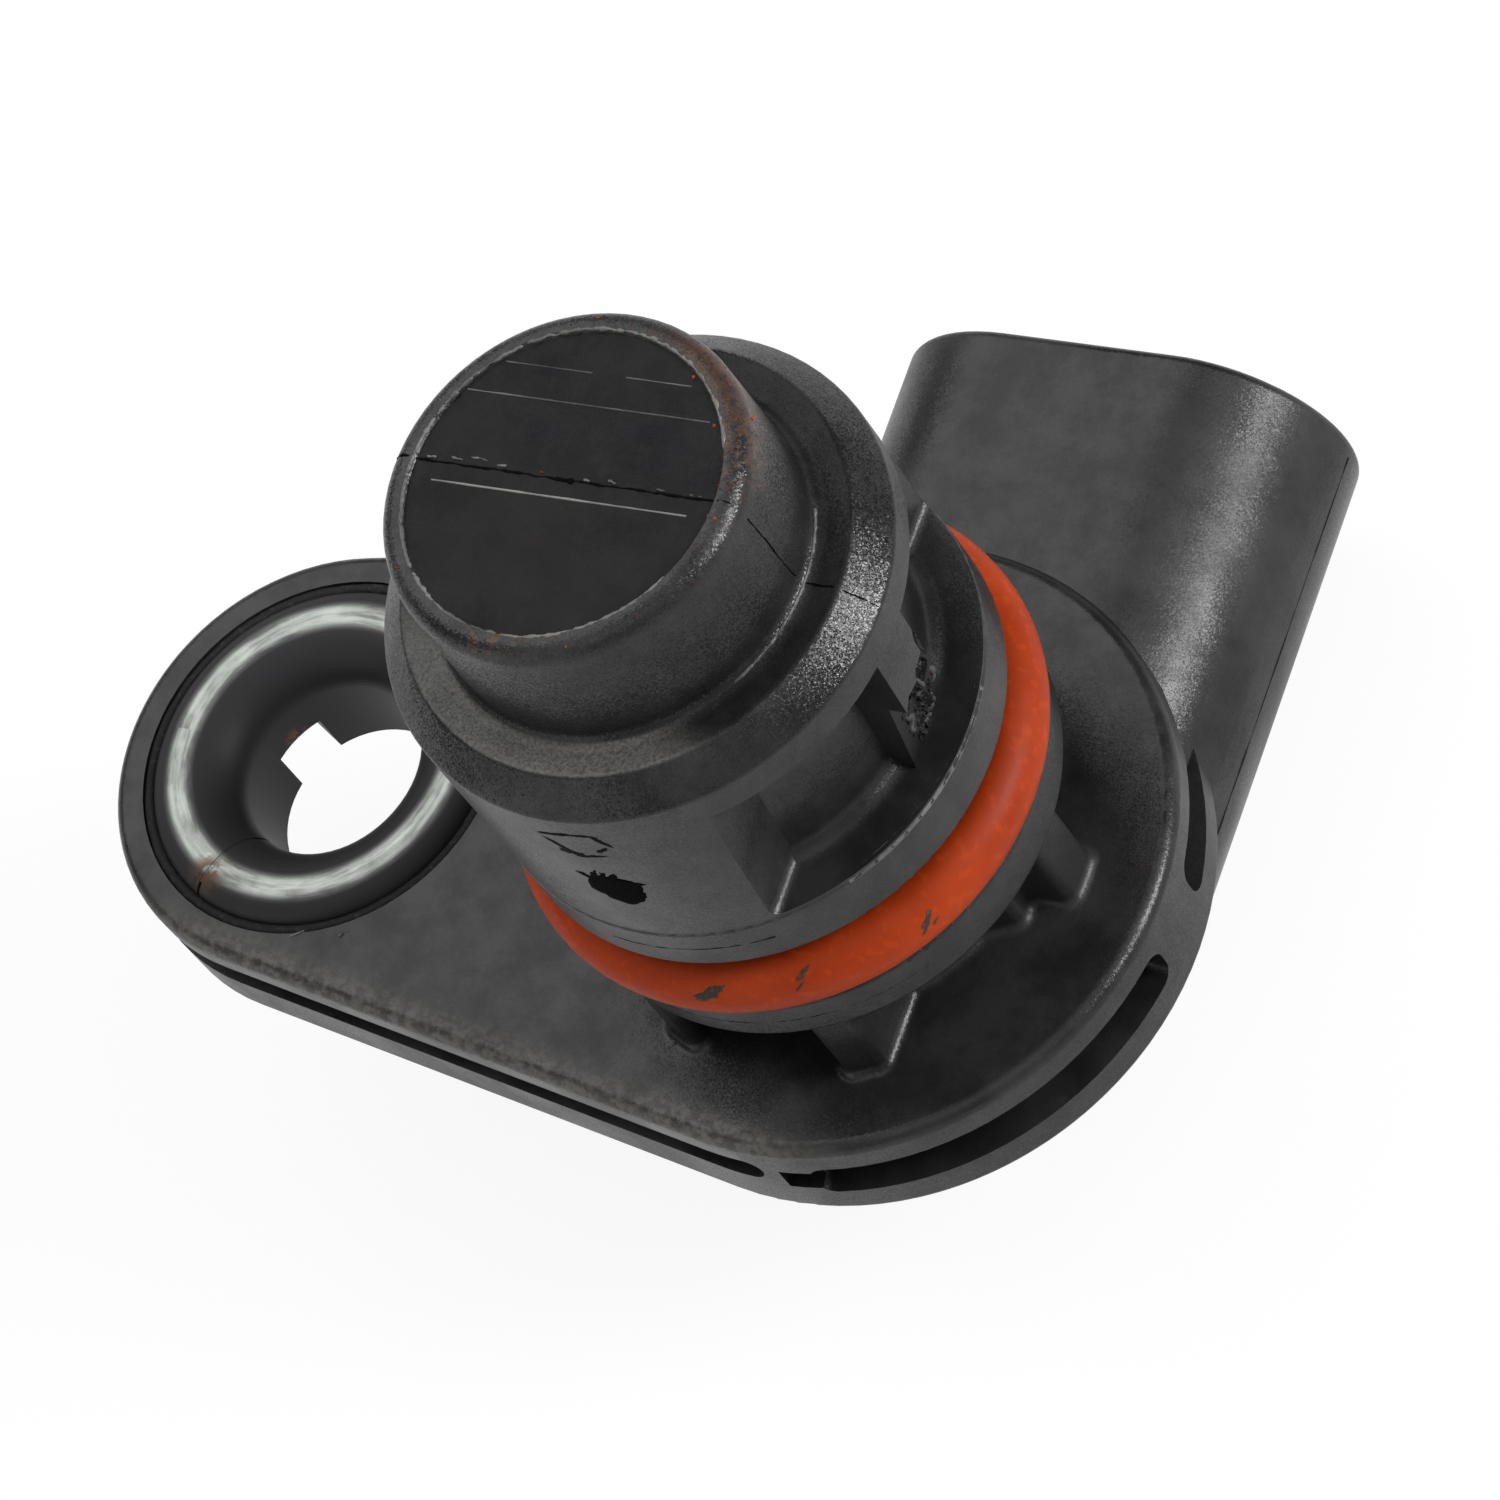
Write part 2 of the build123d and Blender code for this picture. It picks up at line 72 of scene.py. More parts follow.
NUMBER = "NodeSocketFloat"
WHOLE = "NodeSocketInt"
VECTOR = "NodeSocketVector"
GEOMETRY = "NodeSocketGeometry"
FINISH = "NodeSocketMaterial"

MIDDLE = (0.5, 0.5, 0.5)
UP = (0.0, 0.0, 1.0)
DOWN = (0.0, 0.0, -1.0)
SEAL_CORD = 2.4

PLASTIC = "housing_plastic"
RUBBER = "seal_rubber"
STEEL = "limiter_steel"


class Seat(Enum):
    """The surfaces that a thin film can lie on."""

    BARREL = "barrel"
    SEAL = "seal"


class Wiring:
    """Adds nodes to one node tree and links them."""

    def __init__(self, tree: bpy.types.NodeTree) -> None:
        """Keeps the shader or geometry tree to work in."""
        self.tree = tree

    def add(self, kind: str, **settings: object) -> bpy.types.Node:
        """Adds one node.

        Args:
            kind: The node's type name.
            settings: Node properties by name.

        Returns:
            The new node.
        """
        node = self.tree.nodes.new(kind)
        for name, value in settings.items():
            setattr(node, name, value)
        return node

    def feed(self, socket: Socket, value: object) -> None:
        """Links an input socket to an output socket, or sets its plain value.

        Args:
            socket: The input socket.
            value: An output socket, a number or a colour.
        """
        if isinstance(value, bpy.types.NodeSocket):
            self.tree.links.new(value, socket)
        elif socket.type == "RGBA":
            socket.default_value = (*value, 1.0)
        else:
            socket.default_value = value

    def maths(self, operation: str, *values: object, clamp: bool = False) -> Socket:
        """Adds a math node.

        Args:
            operation: The operation's name.
            values: Its inputs in order.
            clamp: Whether the result is kept between 0 and 1.

        Returns:
            The value socket.
        """
        node = self.add("ShaderNodeMath", operation=operation, use_clamp=clamp)
        for socket, value in zip(node.inputs, values):
            self.feed(socket, value)
        return node.outputs[0]

    def product(self, first: object, *others: object) -> Socket:
        """Multiplies two or more values.

        Args:
            first: The first value.
            others: The other values.

        Returns:
            The value socket.
        """
        result = first
        for value in others:
            result = self.maths("MULTIPLY", result, value)
        return result

    def vectors(self, operation: str, *values: object) -> Socket:
        """Adds a vector math node.

        Args:
            operation: The operation's name.
            values: Its inputs in order.

        Returns:
            The socket that carries the result.
        """
        node = self.add("ShaderNodeVectorMath", operation=operation)
        for socket, value in zip(node.inputs, values):
            self.feed(socket, value)
        return next(socket for socket in node.outputs if socket.enabled)

    def scaled(self, vector: object, factor: object) -> Socket:
        """Scales a vector.

        Args:
            vector: The vector.
            factor: What it is multiplied by.

        Returns:
            The scaled vector's socket.
        """
        node = self.add("ShaderNodeVectorMath", operation="SCALE")
        self.feed(node.inputs[0], vector)
        self.feed(node.inputs["Scale"], factor)
        return node.outputs[0]

    def ramp(
        self,
        value: object,
        low: object,
        high: object,
        start: object = 0.0,
        end: object = 1.0,
    ) -> Socket:
        """Maps a value smoothly from one range to another.

        Args:
            value: The value to map.
            low: Where the change starts.
            high: Where the change ends.
            start: The result up to low.
            end: The result from high on.

        Returns:
            The mapped value's socket.
        """
        node = self.add("ShaderNodeMapRange", interpolation_type="SMOOTHSTEP")
        for socket, given in zip(node.inputs, (value, low, high, start, end)):
            self.feed(socket, given)
        return node.outputs["Result"]

    def blend(self, factor: object, first: object, second: object) -> Socket:
        """Blends two colours.

        Args:
            factor: How much of the second shows.
            first: The first colour.
            second: The second colour.

        Returns:
            The colour socket.
        """
        node = self.add("ShaderNodeMix", data_type="RGBA")
        colours = [s for s in node.inputs if s.type == "RGBA"]
        self.feed(node.inputs[0], factor)
        self.feed(colours[0], first)
        self.feed(colours[1], second)
        return next(s for s in node.outputs if s.type == "RGBA")

    def noise(self, place: object, scale: object, detail: float = 2.0, rough: float = 0.5) -> Socket:
        """Adds a noise texture.

        Args:
            place: The coordinates.
            scale: Features per metre.
            detail: The number of finer layers.
            rough: How strong each finer layer is.

        Returns:
            The value socket, mostly between 0.3 and 0.7.
        """
        node = self.add("ShaderNodeTexNoise")
        given = {"Vector": place, "Scale": scale, "Detail": detail, "Roughness": rough}
        for name, value in given.items():
            self.feed(node.inputs[name], value)
        return node.outputs[0]

    def place(self) -> Socket:
        """The object coordinates of the shaded point, in metres."""
        return self.add("ShaderNodeTexCoord").outputs["Object"]

    def normal(self) -> Socket:
        """The surface's own normal, before any bump."""
        return self.add("ShaderNodeNewGeometry").outputs["Normal"]

    def split(self, vector: Socket) -> list[Socket]:
        """The X, Y and Z sockets of a vector."""
        node = self.add("ShaderNodeSeparateXYZ")
        self.feed(node.inputs[0], vector)
        return list(node.outputs)

    def from_axis(self, x: object, y: object) -> Socket:
        """The distance to an upright axis, from the two distances across it."""
        return self.maths("SQRT", self.maths("ADD", self.product(x, x), self.product(y, y)))

    def ring(self, offset: Socket, limits: Sequence[object]) -> Socket:
        """Makes the soft-edged mask of a ring about an upright axis.

        Args:
            offset: The shaded point, measured from a point of the axis.
            limits: The inner and outer radius, the low and high level, and the blur.

        Returns:
            The mask.
        """
        inner, outer, low, high, blur = limits
        x, y, z = self.split(offset)
        bands = []
        for value, least, most in ((self.from_axis(x, y), inner, outer), (z, low, high)):
            rise = self.ramp(value, self.maths("SUBTRACT", least, blur), least)
            fall = self.ramp(value, most, self.maths("ADD", most, blur), start=1.0, end=0.0)
            bands.append(self.product(rise, fall))
        return self.product(*bands)

    def group(self, tree: bpy.types.NodeTree, **inputs: object) -> bpy.types.Node:
        """Places a shader group and feeds its inputs.

        Args:
            tree: The group's tree.
            inputs: Values by socket name, with an underscore for each space.

        Returns:
            The group node.
        """
        node = self.add("ShaderNodeGroup", node_tree=tree)
        for name, value in inputs.items():
            self.feed(node.inputs[name.replace("_", " ")], value)
        return node


def new_group(
    name: str,
    inputs: dict[str, str],
    outputs: dict[str, str],
    kind: str = "ShaderNodeTree",
) -> tuple[Wiring, bpy.types.NodeOutputs, bpy.types.NodeInputs]:
    """Starts a node group.

    Args:
        name: The group's name.
        inputs: Socket types by input name.
        outputs: Socket types by output name.
        kind: The tree's type.

    Returns:
        Its wiring, the sockets that give its inputs and the sockets that take its outputs.
    """
    tree = bpy.data.node_groups.new(name, kind)
    for way, sockets in (("INPUT", inputs), ("OUTPUT", outputs)):
        for title, socket in sockets.items():
            tree.interface.new_socket(name=title, in_out=way, socket_type=socket)
    wiring = Wiring(tree)
    return wiring, wiring.add("NodeGroupInput").outputs, wiring.add("NodeGroupOutput").inputs


class Effects:
    """The shader groups that several finishes share, built once; each scale is in features per metre."""

    FLECK_EDGE = (0.56, 0.68)
    CLOUD_SCALE = 190.0
    CLOUD_EDGE = (0.36, 0.64)
    FACET_EDGE = (0.60, 0.72)
    WEAR_EDGE = (0.40, 0.62)
    WEAR_LEAST = 0.25
    WEAR_FROM = (-0.9 * MM, -0.1 * MM)
    WEAR_UP_TO = (0.2 * MM, 0.4 * MM)
    PATCH_CORE = 0.15
    PATCH_EDGE = 0.12
    DUST_EDGE = 0.25
    DUST_FACING = (0.2, 0.9)
    BLOTCH_SCALE = 420.0
    BLOTCH_EDGE = (0.40, 0.62)
    ARC_LENGTH = 0.6 * MM

    def __init__(self) -> None:
        """Builds every group."""
        self.grain = self.moulded_grain()
        self.glints = self.skin_glints()
        self.reach = self.local_reach()
        self.dust = self.settled_dust()
        self.edge = self.edge_wear()
        self.band = self.ring_band()
        self.turning = self.turning_marks()

    def moulded_grain(self) -> bpy.types.NodeTree:
        """The skin of a moulded part: fine grain, glass flecks and broad clouds.

        Returns:
            A group that gives Height for a bump, Flecks and Clouds.
        """
        inputs = {"Grain Scale": NUMBER, "Fleck Scale": NUMBER, "Fleck Share": NUMBER}
        outputs = {"Height": NUMBER, "Flecks": NUMBER, "Clouds": NUMBER}
        w, take, give = new_group("moulded grain", inputs, outputs)
        place = w.place()
        fine = w.noise(place, take["Grain Scale"], rough=0.6)
        coarse = w.noise(place, take["Fleck Scale"], detail=1.0)
        share = take["Fleck Share"]
        w.feed(give["Height"], w.maths("ADD", fine, w.product(coarse, share)))
        w.feed(give["Flecks"], w.product(w.ramp(coarse, *self.FLECK_EDGE), share))
        clouds = w.noise(place, self.CLOUD_SCALE, detail=4.0, rough=0.62)
        w.feed(give["Clouds"], w.ramp(clouds, *self.CLOUD_EDGE))
        return w.tree

    def skin_glints(self) -> bpy.types.NodeTree:
        """Tiny facets that lean at random, as the fibre ends in a moulded skin do.

        Returns:
            A group that gives Normal and Shine, a mask of the smoothest facets.
        """
        outputs = {"Normal": VECTOR, "Shine": NUMBER}
        w, take, give = new_group("skin glints", {"Cell Scale": NUMBER, "Lean": NUMBER}, outputs)
        cells = w.add("ShaderNodeTexVoronoi")
        w.feed(cells.inputs["Vector"], w.place())
        w.feed(cells.inputs["Scale"], take["Cell Scale"])
        draw = cells.outputs["Color"]
        lean = w.scaled(w.vectors("SUBTRACT", draw, MIDDLE), take["Lean"])
        w.feed(give["Normal"], w.vectors("NORMALIZE", w.vectors("ADD", w.normal(), lean)))
        w.feed(give["Shine"], w.ramp(w.split(draw)[2], *self.FACET_EDGE))
        return w.tree

    def edge_wear(self) -> bpy.types.NodeTree:
        """A worn strip along one straight edge of the mounting face.

        Returns:
            A group that gives Mask.
        """
        inputs = {"Way": VECTOR, "Reach": NUMBER, "Width": NUMBER, "Scale": NUMBER}
        w, take, give = new_group("edge wear", inputs, {"Mask": NUMBER})
        place = w.place()
        span = w.vectors("DOT_PRODUCT", place, take["Way"])
        near = w.ramp(span, w.maths("SUBTRACT", take["Reach"], take["Width"]), take["Reach"])
        worn = w.noise(place, take["Scale"], detail=4.0, rough=0.65)
        patches = w.ramp(worn, *self.WEAR_EDGE, start=self.WEAR_LEAST)
        height = w.split(place)[2]
        above = w.ramp(height, *self.WEAR_FROM)
        below = w.ramp(height, *self.WEAR_UP_TO, start=1.0, end=0.0)
        w.feed(give["Mask"], w.product(near, patches, above, below))
        return w.tree

    def ring_band(self) -> bpy.types.NodeTree:
        """A soft-edged ring about an upright axis, between two radii and two heights.

        Returns:
            A group that gives Mask.
        """
        lengths = {title: NUMBER for title in ("Inner", "Outer", "Low", "High", "Blur")}
        w, take, give = new_group("ring band", {"Centre": VECTOR, **lengths}, {"Mask": NUMBER})
        offset = w.vectors("SUBTRACT", w.place(), take["Centre"])
        w.feed(give["Mask"], w.ring(offset, [take[title] for title in lengths]))
        return w.tree

    def local_reach(self) -> bpy.types.NodeTree:
        """A soft round patch about one place, broken up by noise.

        Returns:
            A group that gives Mask.
        """
        inputs = {"Centre": VECTOR, "Radius": NUMBER, "Break Scale": NUMBER, "Cover": NUMBER}
        w, take, give = new_group("local reach", inputs, {"Mask": NUMBER})
        place = w.place()
        share = w.maths("DIVIDE", w.vectors("DISTANCE", place, take["Centre"]), take["Radius"])
        near = w.ramp(share, self.PATCH_CORE, 1.0, start=1.0, end=0.0)
        broken = w.noise(place, take["Break Scale"], detail=3.0, rough=0.65)
        level = w.maths("SUBTRACT", 1.0, take["Cover"])
        patchy = w.ramp(broken, level, w.maths("ADD", level, self.PATCH_EDGE))
        w.feed(give["Mask"], w.maths("MULTIPLY", near, patchy, clamp=True))
        return w.tree

    def settled_dust(self) -> bpy.types.NodeTree:
        """Dust and rubbed patches on what faces one way.

        Returns:
            A group that gives Mask.
        """
        inputs = {"Way": VECTOR, "Scale": NUMBER, "Cover": NUMBER}
        w, take, give = new_group("settled dust", inputs, {"Mask": NUMBER})
        spread = w.noise(w.place(), take["Scale"], detail=5.0, rough=0.7)
        level = w.maths("SUBTRACT", 1.0, take["Cover"])
        patches = w.ramp(spread, level, w.maths("ADD", level, self.DUST_EDGE))
        turned = w.ramp(w.vectors("DOT_PRODUCT", w.normal(), take["Way"]), *self.DUST_FACING)
        w.feed(give["Mask"], w.product(patches, turned))
        return w.tree

    def turning_marks(self) -> bpy.types.NodeTree:
        """Fine rings about an upright axis, as rolling or turning leaves them.

        Returns:
            A group that gives Rings and Blotches.
        """
        outputs = {"Rings": NUMBER, "Blotches": NUMBER}
        w, take, give = new_group("turning marks", {"Centre": VECTOR, "Scale": NUMBER}, outputs)
        place = w.place()
        x, y, z = w.split(w.vectors("SUBTRACT", place, take["Centre"]))
        turn = w.product(w.maths("ARCTAN2", y, x), self.ARC_LENGTH)
        polar = w.add("ShaderNodeCombineXYZ")
        for socket, value in zip(polar.inputs, (w.from_axis(x, y), z, turn)):
            w.feed(socket, value)
        w.feed(give["Rings"], w.noise(polar.outputs[0], take["Scale"], detail=3.0, rough=0.6))
        blotches = w.noise(place, self.BLOTCH_SCALE, detail=4.0, rough=0.6)
        w.feed(give["Blotches"], w.ramp(blotches, *self.BLOTCH_EDGE))
        return w.tree


EFFECTS = Effects()


def start_material(name: str, **shine: float) -> tuple[bpy.types.Material, Wiring, bpy.types.Node]:
    """Starts a material with a bare shader.

    Args:
        name: The material's name.
        shine: Plain values of the shader's sockets, with an underscore for each space.

    Returns:
        The material, its wiring and its shader node.
    """
    material = bpy.data.materials.new(name)
    material.use_nodes = True
    wiring = Wiring(material.node_tree)
    shader = material.node_tree.nodes["Principled BSDF"]
    for title, value in shine.items():
        shader.inputs[title.replace("_", " ")].default_value = value
    return material, wiring, shader


def add_bump(
    w: Wiring,
    shader: bpy.types.Node,
    height: Socket,
    depth: float,
    base: Socket | None = None,
) -> None:
    """Gives a shader a bump.

    Args:
        w: The material's wiring.
        shader: The shader node.
        height: The height, about 0 to 1.
        depth: What a height of 1 stands for, in metres.
        base: The normal that the bump starts from, if it isn't the plain one.
    """
    bump = w.add("ShaderNodeBump")
    bump.inputs["Distance"].default_value = depth
    w.feed(bump.inputs["Height"], height)
    if base is not None:
        w.feed(bump.inputs["Normal"], base)
    w.feed(shader.inputs["Normal"], bump.outputs["Normal"])


def in_metres(place: Place) -> Place:
    """A place given in mm, in metres."""
    return tuple(c * MM for c in place)


@dataclass(frozen=True)
class Stain:
    """A tinted patch about one place; lengths in mm, the scale in features per metre."""

    centre: Place
    radius: float
    colour: Colour
    cover: float = 0.5
    break_scale: float = 2600.0

    def over(self, w: Wiring, colour: Socket) -> Socket:
        """Lays the stain over a colour.

        Args:
            w: The material's wiring.
            colour: The colour under the stain.

        Returns:
            The stained colour.
        """
        patch = w.group(
            EFFECTS.reach,
            Centre=in_metres(self.centre),
            Radius=self.radius * MM,
            Break_Scale=self.break_scale,
            Cover=self.cover,
        )
        return w.blend(patch.outputs["Mask"], colour, self.colour)


@dataclass(frozen=True)
class RingBand:
    """A ring about an upright axis that has its own colour; lengths in mm."""

    colour: Colour
    inner: float
    outer: float
    low: float
    high: float
    blur: float = 0.12

    def mask(self, w: Wiring, centre: Place = (0.0, 0.0, 0.0)) -> Socket:
        """Places the ring's mask in a material.

        Args:
            w: The material's wiring.
            centre: A point of the axis, in mm.

        Returns:
            The mask.
        """
        band = w.group(EFFECTS.band, Centre=in_metres(centre), **self.limits())
        return band.outputs["Mask"]

    def limits(self) -> dict[str, float]:
        """The ring's lengths in metres, by the names of the group's inputs."""
        lengths = {
            "Inner": self.inner,
            "Outer": self.outer,
            "Low": self.low,
            "High": self.high,
            "Blur": self.blur,
        }
        return {title: length * MM for title, length in lengths.items()}

    def specular_mask(self, w: Wiring, centre: Place = (0.0, 0.0, 0.0)) -> Socket:
        """Makes the ring's mask of plain nodes, because no group may feed a specular level.

        Args:
            w: The material's wiring.
            centre: A point of the axis, in mm.

        Returns:
            The mask.
        """
        offset = w.vectors("SUBTRACT", w.place(), in_metres(centre))
        return w.ring(offset, list(self.limits().values()))


@dataclass(frozen=True)
class DustAndLightArc:
    """A ring with dust and painted light on one side, and painted shade on the other; lengths in mm.

    The shaded side keeps painted_shade_share of the specular level, as painted shade.
    """

    ring: RingBand
    way: Place
    start: float
    full: float
    painted_shade_share: float
    speckle_scale: float = 9000.0
    speckle_edge: tuple[float, float] = (0.36, 0.62)
    speckle_least: float = 0.45

    def dusty(self, w: Wiring, place: Socket, band: Socket) -> Socket:
        """Takes the dusty, lit side out of the ring, where dust and painted light lie.

        Args:
            w: The material's wiring.
            place: The object coordinates.
            band: The ring's mask.

        Returns:
            The mask of the dusty, lit side.
        """
        side = w.ramp(w.vectors("DOT_PRODUCT", place, self.way), self.start * MM, self.full * MM)
        return w.product(band, side)

    def over(self, w: Wiring, place: Socket, dusty: Socket, colour: Socket) -> Socket:
        """Lays speckled dust over the dusty side, as dust and painted light.

        Args:
            w: The material's wiring.
            place: The object coordinates.
            dusty: The mask of the dusty, lit side.
            colour: The colour under the ring.

        Returns:
            The new colour.
        """
        grains = w.noise(place, self.speckle_scale, rough=0.7)
        speckle = w.ramp(grains, *self.speckle_edge, start=self.speckle_least)
        return w.blend(w.product(dusty, speckle), colour, self.ring.colour)

    def polish_kept(self, w: Wiring, place: Socket) -> Socket:
        """Works out the share of the specular level that is left, less on the shaded side as painted shade.

        Args:
            w: The material's wiring.
            place: The object coordinates.

        Returns:
            The share: painted_shade_share on the shaded side and 1 elsewhere.
        """
        band = self.ring.specular_mask(w)
        # The ring without its lit side: the shaded side, which gets painted shade.
        bare = w.maths("SUBTRACT", band, self.dusty(w, place, band))
        return w.ramp(bare, 0.0, 1.0, 1.0, self.painted_shade_share)


@dataclass(frozen=True)
class WornEdge:
    """A rubbed, dusty strip inside a straight edge; lengths in mm, the scale in features per metre."""

    colour: Colour
    way: Place
    reach: float
    width: float
    patch_scale: float = 2600.0

    def over(self, w: Wiring, colour: Socket) -> Socket:
        """Lays the strip over a colour.

        Args:
            w: The material's wiring.
            colour: The colour under the strip.

        Returns:
            The new colour.
        """
        strip = w.group(
            EFFECTS.edge,
            Way=self.way,
            Reach=self.reach * MM,
            Width=self.width * MM,
            Scale=self.patch_scale,
        )
        return w.blend(strip.outputs["Mask"], colour, self.colour)


@dataclass(frozen=True)
class MouldedPlastic:
    """Glass-filled plastic with a fine grain, flecks, rubbed patches and stains.

    Lengths are in mm and scales in features per metre. Lean and shine have a value below
    flecked_from and one above it.
    """

    name: str
    dark: Colour
    light: Colour
    dusty: Colour = (0.048, 0.045, 0.041)
    roughness: tuple[float, float] = (0.33, 0.46)
    roughest_at: float = 1.4
    specular: float = 0.36
    # Walls keep this share of the specular level, a painted shade.
    wall_shade_share: float = 0.80
    wall_to_face: tuple[float, float] = (0.15, 0.75)
    mottle: float = 0.17
    mottle_scale: float = 620.0
    mottle_edge: tuple[float, float] = (0.34, 0.66)
    grain: float = 0.12
    depth: float = 0.006
    fleck: float = 0.08
    fleck_share: float = 0.7
    flecked_from: float | None = None
    fleck_rise: float = 1.4
    fleck_blur: float = 0.4
    glint: float = 0.050
    glint_blur: float = 0.2
    lean: tuple[float, float] = (0.14, 0.28)
    shine: tuple[float, float] = (0.03, 0.14)
    dust_cover: float = 0.40
    dust_scale: float = 420.0
    dust_strength: float = 0.8
    dust_band: tuple[float, float] | None = None
    dust_beyond: float = 0.15
    arc: DustAndLightArc | None = None
    worn_edge: WornEdge | None = None
    stains: tuple[Stain, ...] = ()

    def by_height(self, w: Wiring, height: Socket) -> tuple[object, object, object]:
        """Works out how flecks, lean and shine grow where the skin gets rougher.

        Args:
            w: The material's wiring.
            height: The height of the shaded point.

        Returns:
            The fleck share, the lean and the shine, as plain values where they don't change.
        """
        if self.flecked_from is None:
            return self.fleck_share, self.lean[0], self.shine[0]
        start = self.flecked_from * MM
        share = w.ramp(height, start, start + self.fleck_blur * MM, self.fleck_share, self.fleck_rise)
        end = start + self.glint_blur * MM
        return share, w.ramp(height, start, end, *self.lean), w.ramp(height, start, end, *self.shine)

    def polish(self, w: Wiring, place: Socket) -> Socket:
        """Makes the specular level: mottled, lower on walls as painted shade, and lower on the arc's shaded
        side as painted shade.

        Args:
            w: The material's wiring.
            place: The object coordinates.

        Returns:
            The level's socket.
        """
        fine = w.noise(place, self.mottle_scale, detail=4.0, rough=0.65)
        mottle = w.ramp(fine, *self.mottle_edge, 1 - self.mottle, 1 + self.mottle)
        level = w.maths("ABSOLUTE", w.split(w.normal())[2])
        turned = w.ramp(level, *self.wall_to_face, self.specular * self.wall_shade_share, self.specular)
        polish = w.product(mottle, turned)
        return polish if self.arc is None else w.product(polish, self.arc.polish_kept(w, place))

    def dust(self, w: Wiring, y: Socket) -> Socket:
        """Settles dust on what faces up, mostly on one side where a band is given.

        Args:
            w: The material's wiring.
            y: The Y coordinate of the shaded point.

        Returns:
            The mask.
        """
        dust = w.group(EFFECTS.dust, Way=UP, Scale=self.dust_scale, Cover=self.dust_cover)
        if self.dust_band is None:
            return dust.outputs["Mask"]
        near, far = (edge * MM for edge in self.dust_band)
        return w.product(dust.outputs["Mask"], w.ramp(y, near, far, start=1.0, end=self.dust_beyond))

    def material(self) -> bpy.types.Material:
        """Builds the finish.

        Returns:
            The material.
        """
        material, w, shader = start_material(self.name, Specular_IOR_Level=self.specular)
        place = w.place()
        y, z = w.split(place)[1:]
        share, lean, shine = self.by_height(w, z)
        glints = w.group(EFFECTS.glints, Cell_Scale=1 / (self.glint * MM), Lean=lean)
        skin = w.group(
            EFFECTS.grain,
            Grain_Scale=1 / (self.grain * MM),
            Fleck_Scale=1 / (self.fleck * MM),
            Fleck_Share=share,
        )
        clouds = skin.outputs["Clouds"]
        dust = self.dust(w, y)
        colour = w.blend(clouds, self.dark, self.light)
        colour = w.blend(w.product(dust, self.dust_strength), colour, self.dusty)
        if self.worn_edge is not None:
            colour = self.worn_edge.over(w, colour)
        # The arc lays dust and painted light on its lit side; polish gives its other side painted shade.
        if self.arc is not None:
            dusted_and_lit = self.arc.dusty(w, place, self.arc.ring.mask(w))
            colour = self.arc.over(w, place, dusted_and_lit, colour)
            dust = w.maths("MAXIMUM", dust, dusted_and_lit)
        for stain in self.stains:
            colour = stain.over(w, colour)
        w.feed(shader.inputs["Base Color"], colour)
        w.feed(shader.inputs["Specular IOR Level"], self.polish(w, place))
        spread = w.ramp(w.maths("ADD", clouds, dust), 0.0, self.roughest_at, *self.roughness)
        gloss = w.product(glints.outputs["Shine"], shine)
        w.feed(shader.inputs["Roughness"], w.maths("SUBTRACT", spread, gloss))
        add_bump(w, shader, skin.outputs["Height"], self.depth * MM, glints.outputs["Normal"])
        return material


@dataclass(frozen=True)
class SealRubber:
    """Silicone-like rubber with a dull, faintly mottled skin; lengths in mm, scales per metre."""

    name: str
    deep: Colour
    bright: Colour
    roughness: tuple[float, float] = (0.46, 0.62)
    specular: float = 0.12
    grain: float = 0.14
    depth: float = 0.004
    fleck_scale: float = 2600.0
    fleck_share: float = 0.5
    cloud_part: float = 0.7

    def material(self) -> bpy.types.Material:
        """Builds the finish.

        Returns:
            The material.
        """
        material, w, shader = start_material(self.name, Specular_IOR_Level=self.specular)
        skin = w.group(
            EFFECTS.grain,
            Grain_Scale=1 / (self.grain * MM),
            Fleck_Scale=self.fleck_scale,
            Fleck_Share=self.fleck_share,
        )
        clouds = skin.outputs["Clouds"]
        tone = w.maths("ADD", w.product(clouds, self.cloud_part), skin.outputs["Flecks"], clamp=True)
        w.feed(shader.inputs["Base Color"], w.blend(tone, self.deep, self.bright))
        w.feed(shader.inputs["Roughness"], w.ramp(clouds, 0.0, 1.0, *self.roughness))
        add_bump(w, shader, skin.outputs["Height"], self.depth * MM)
        return material


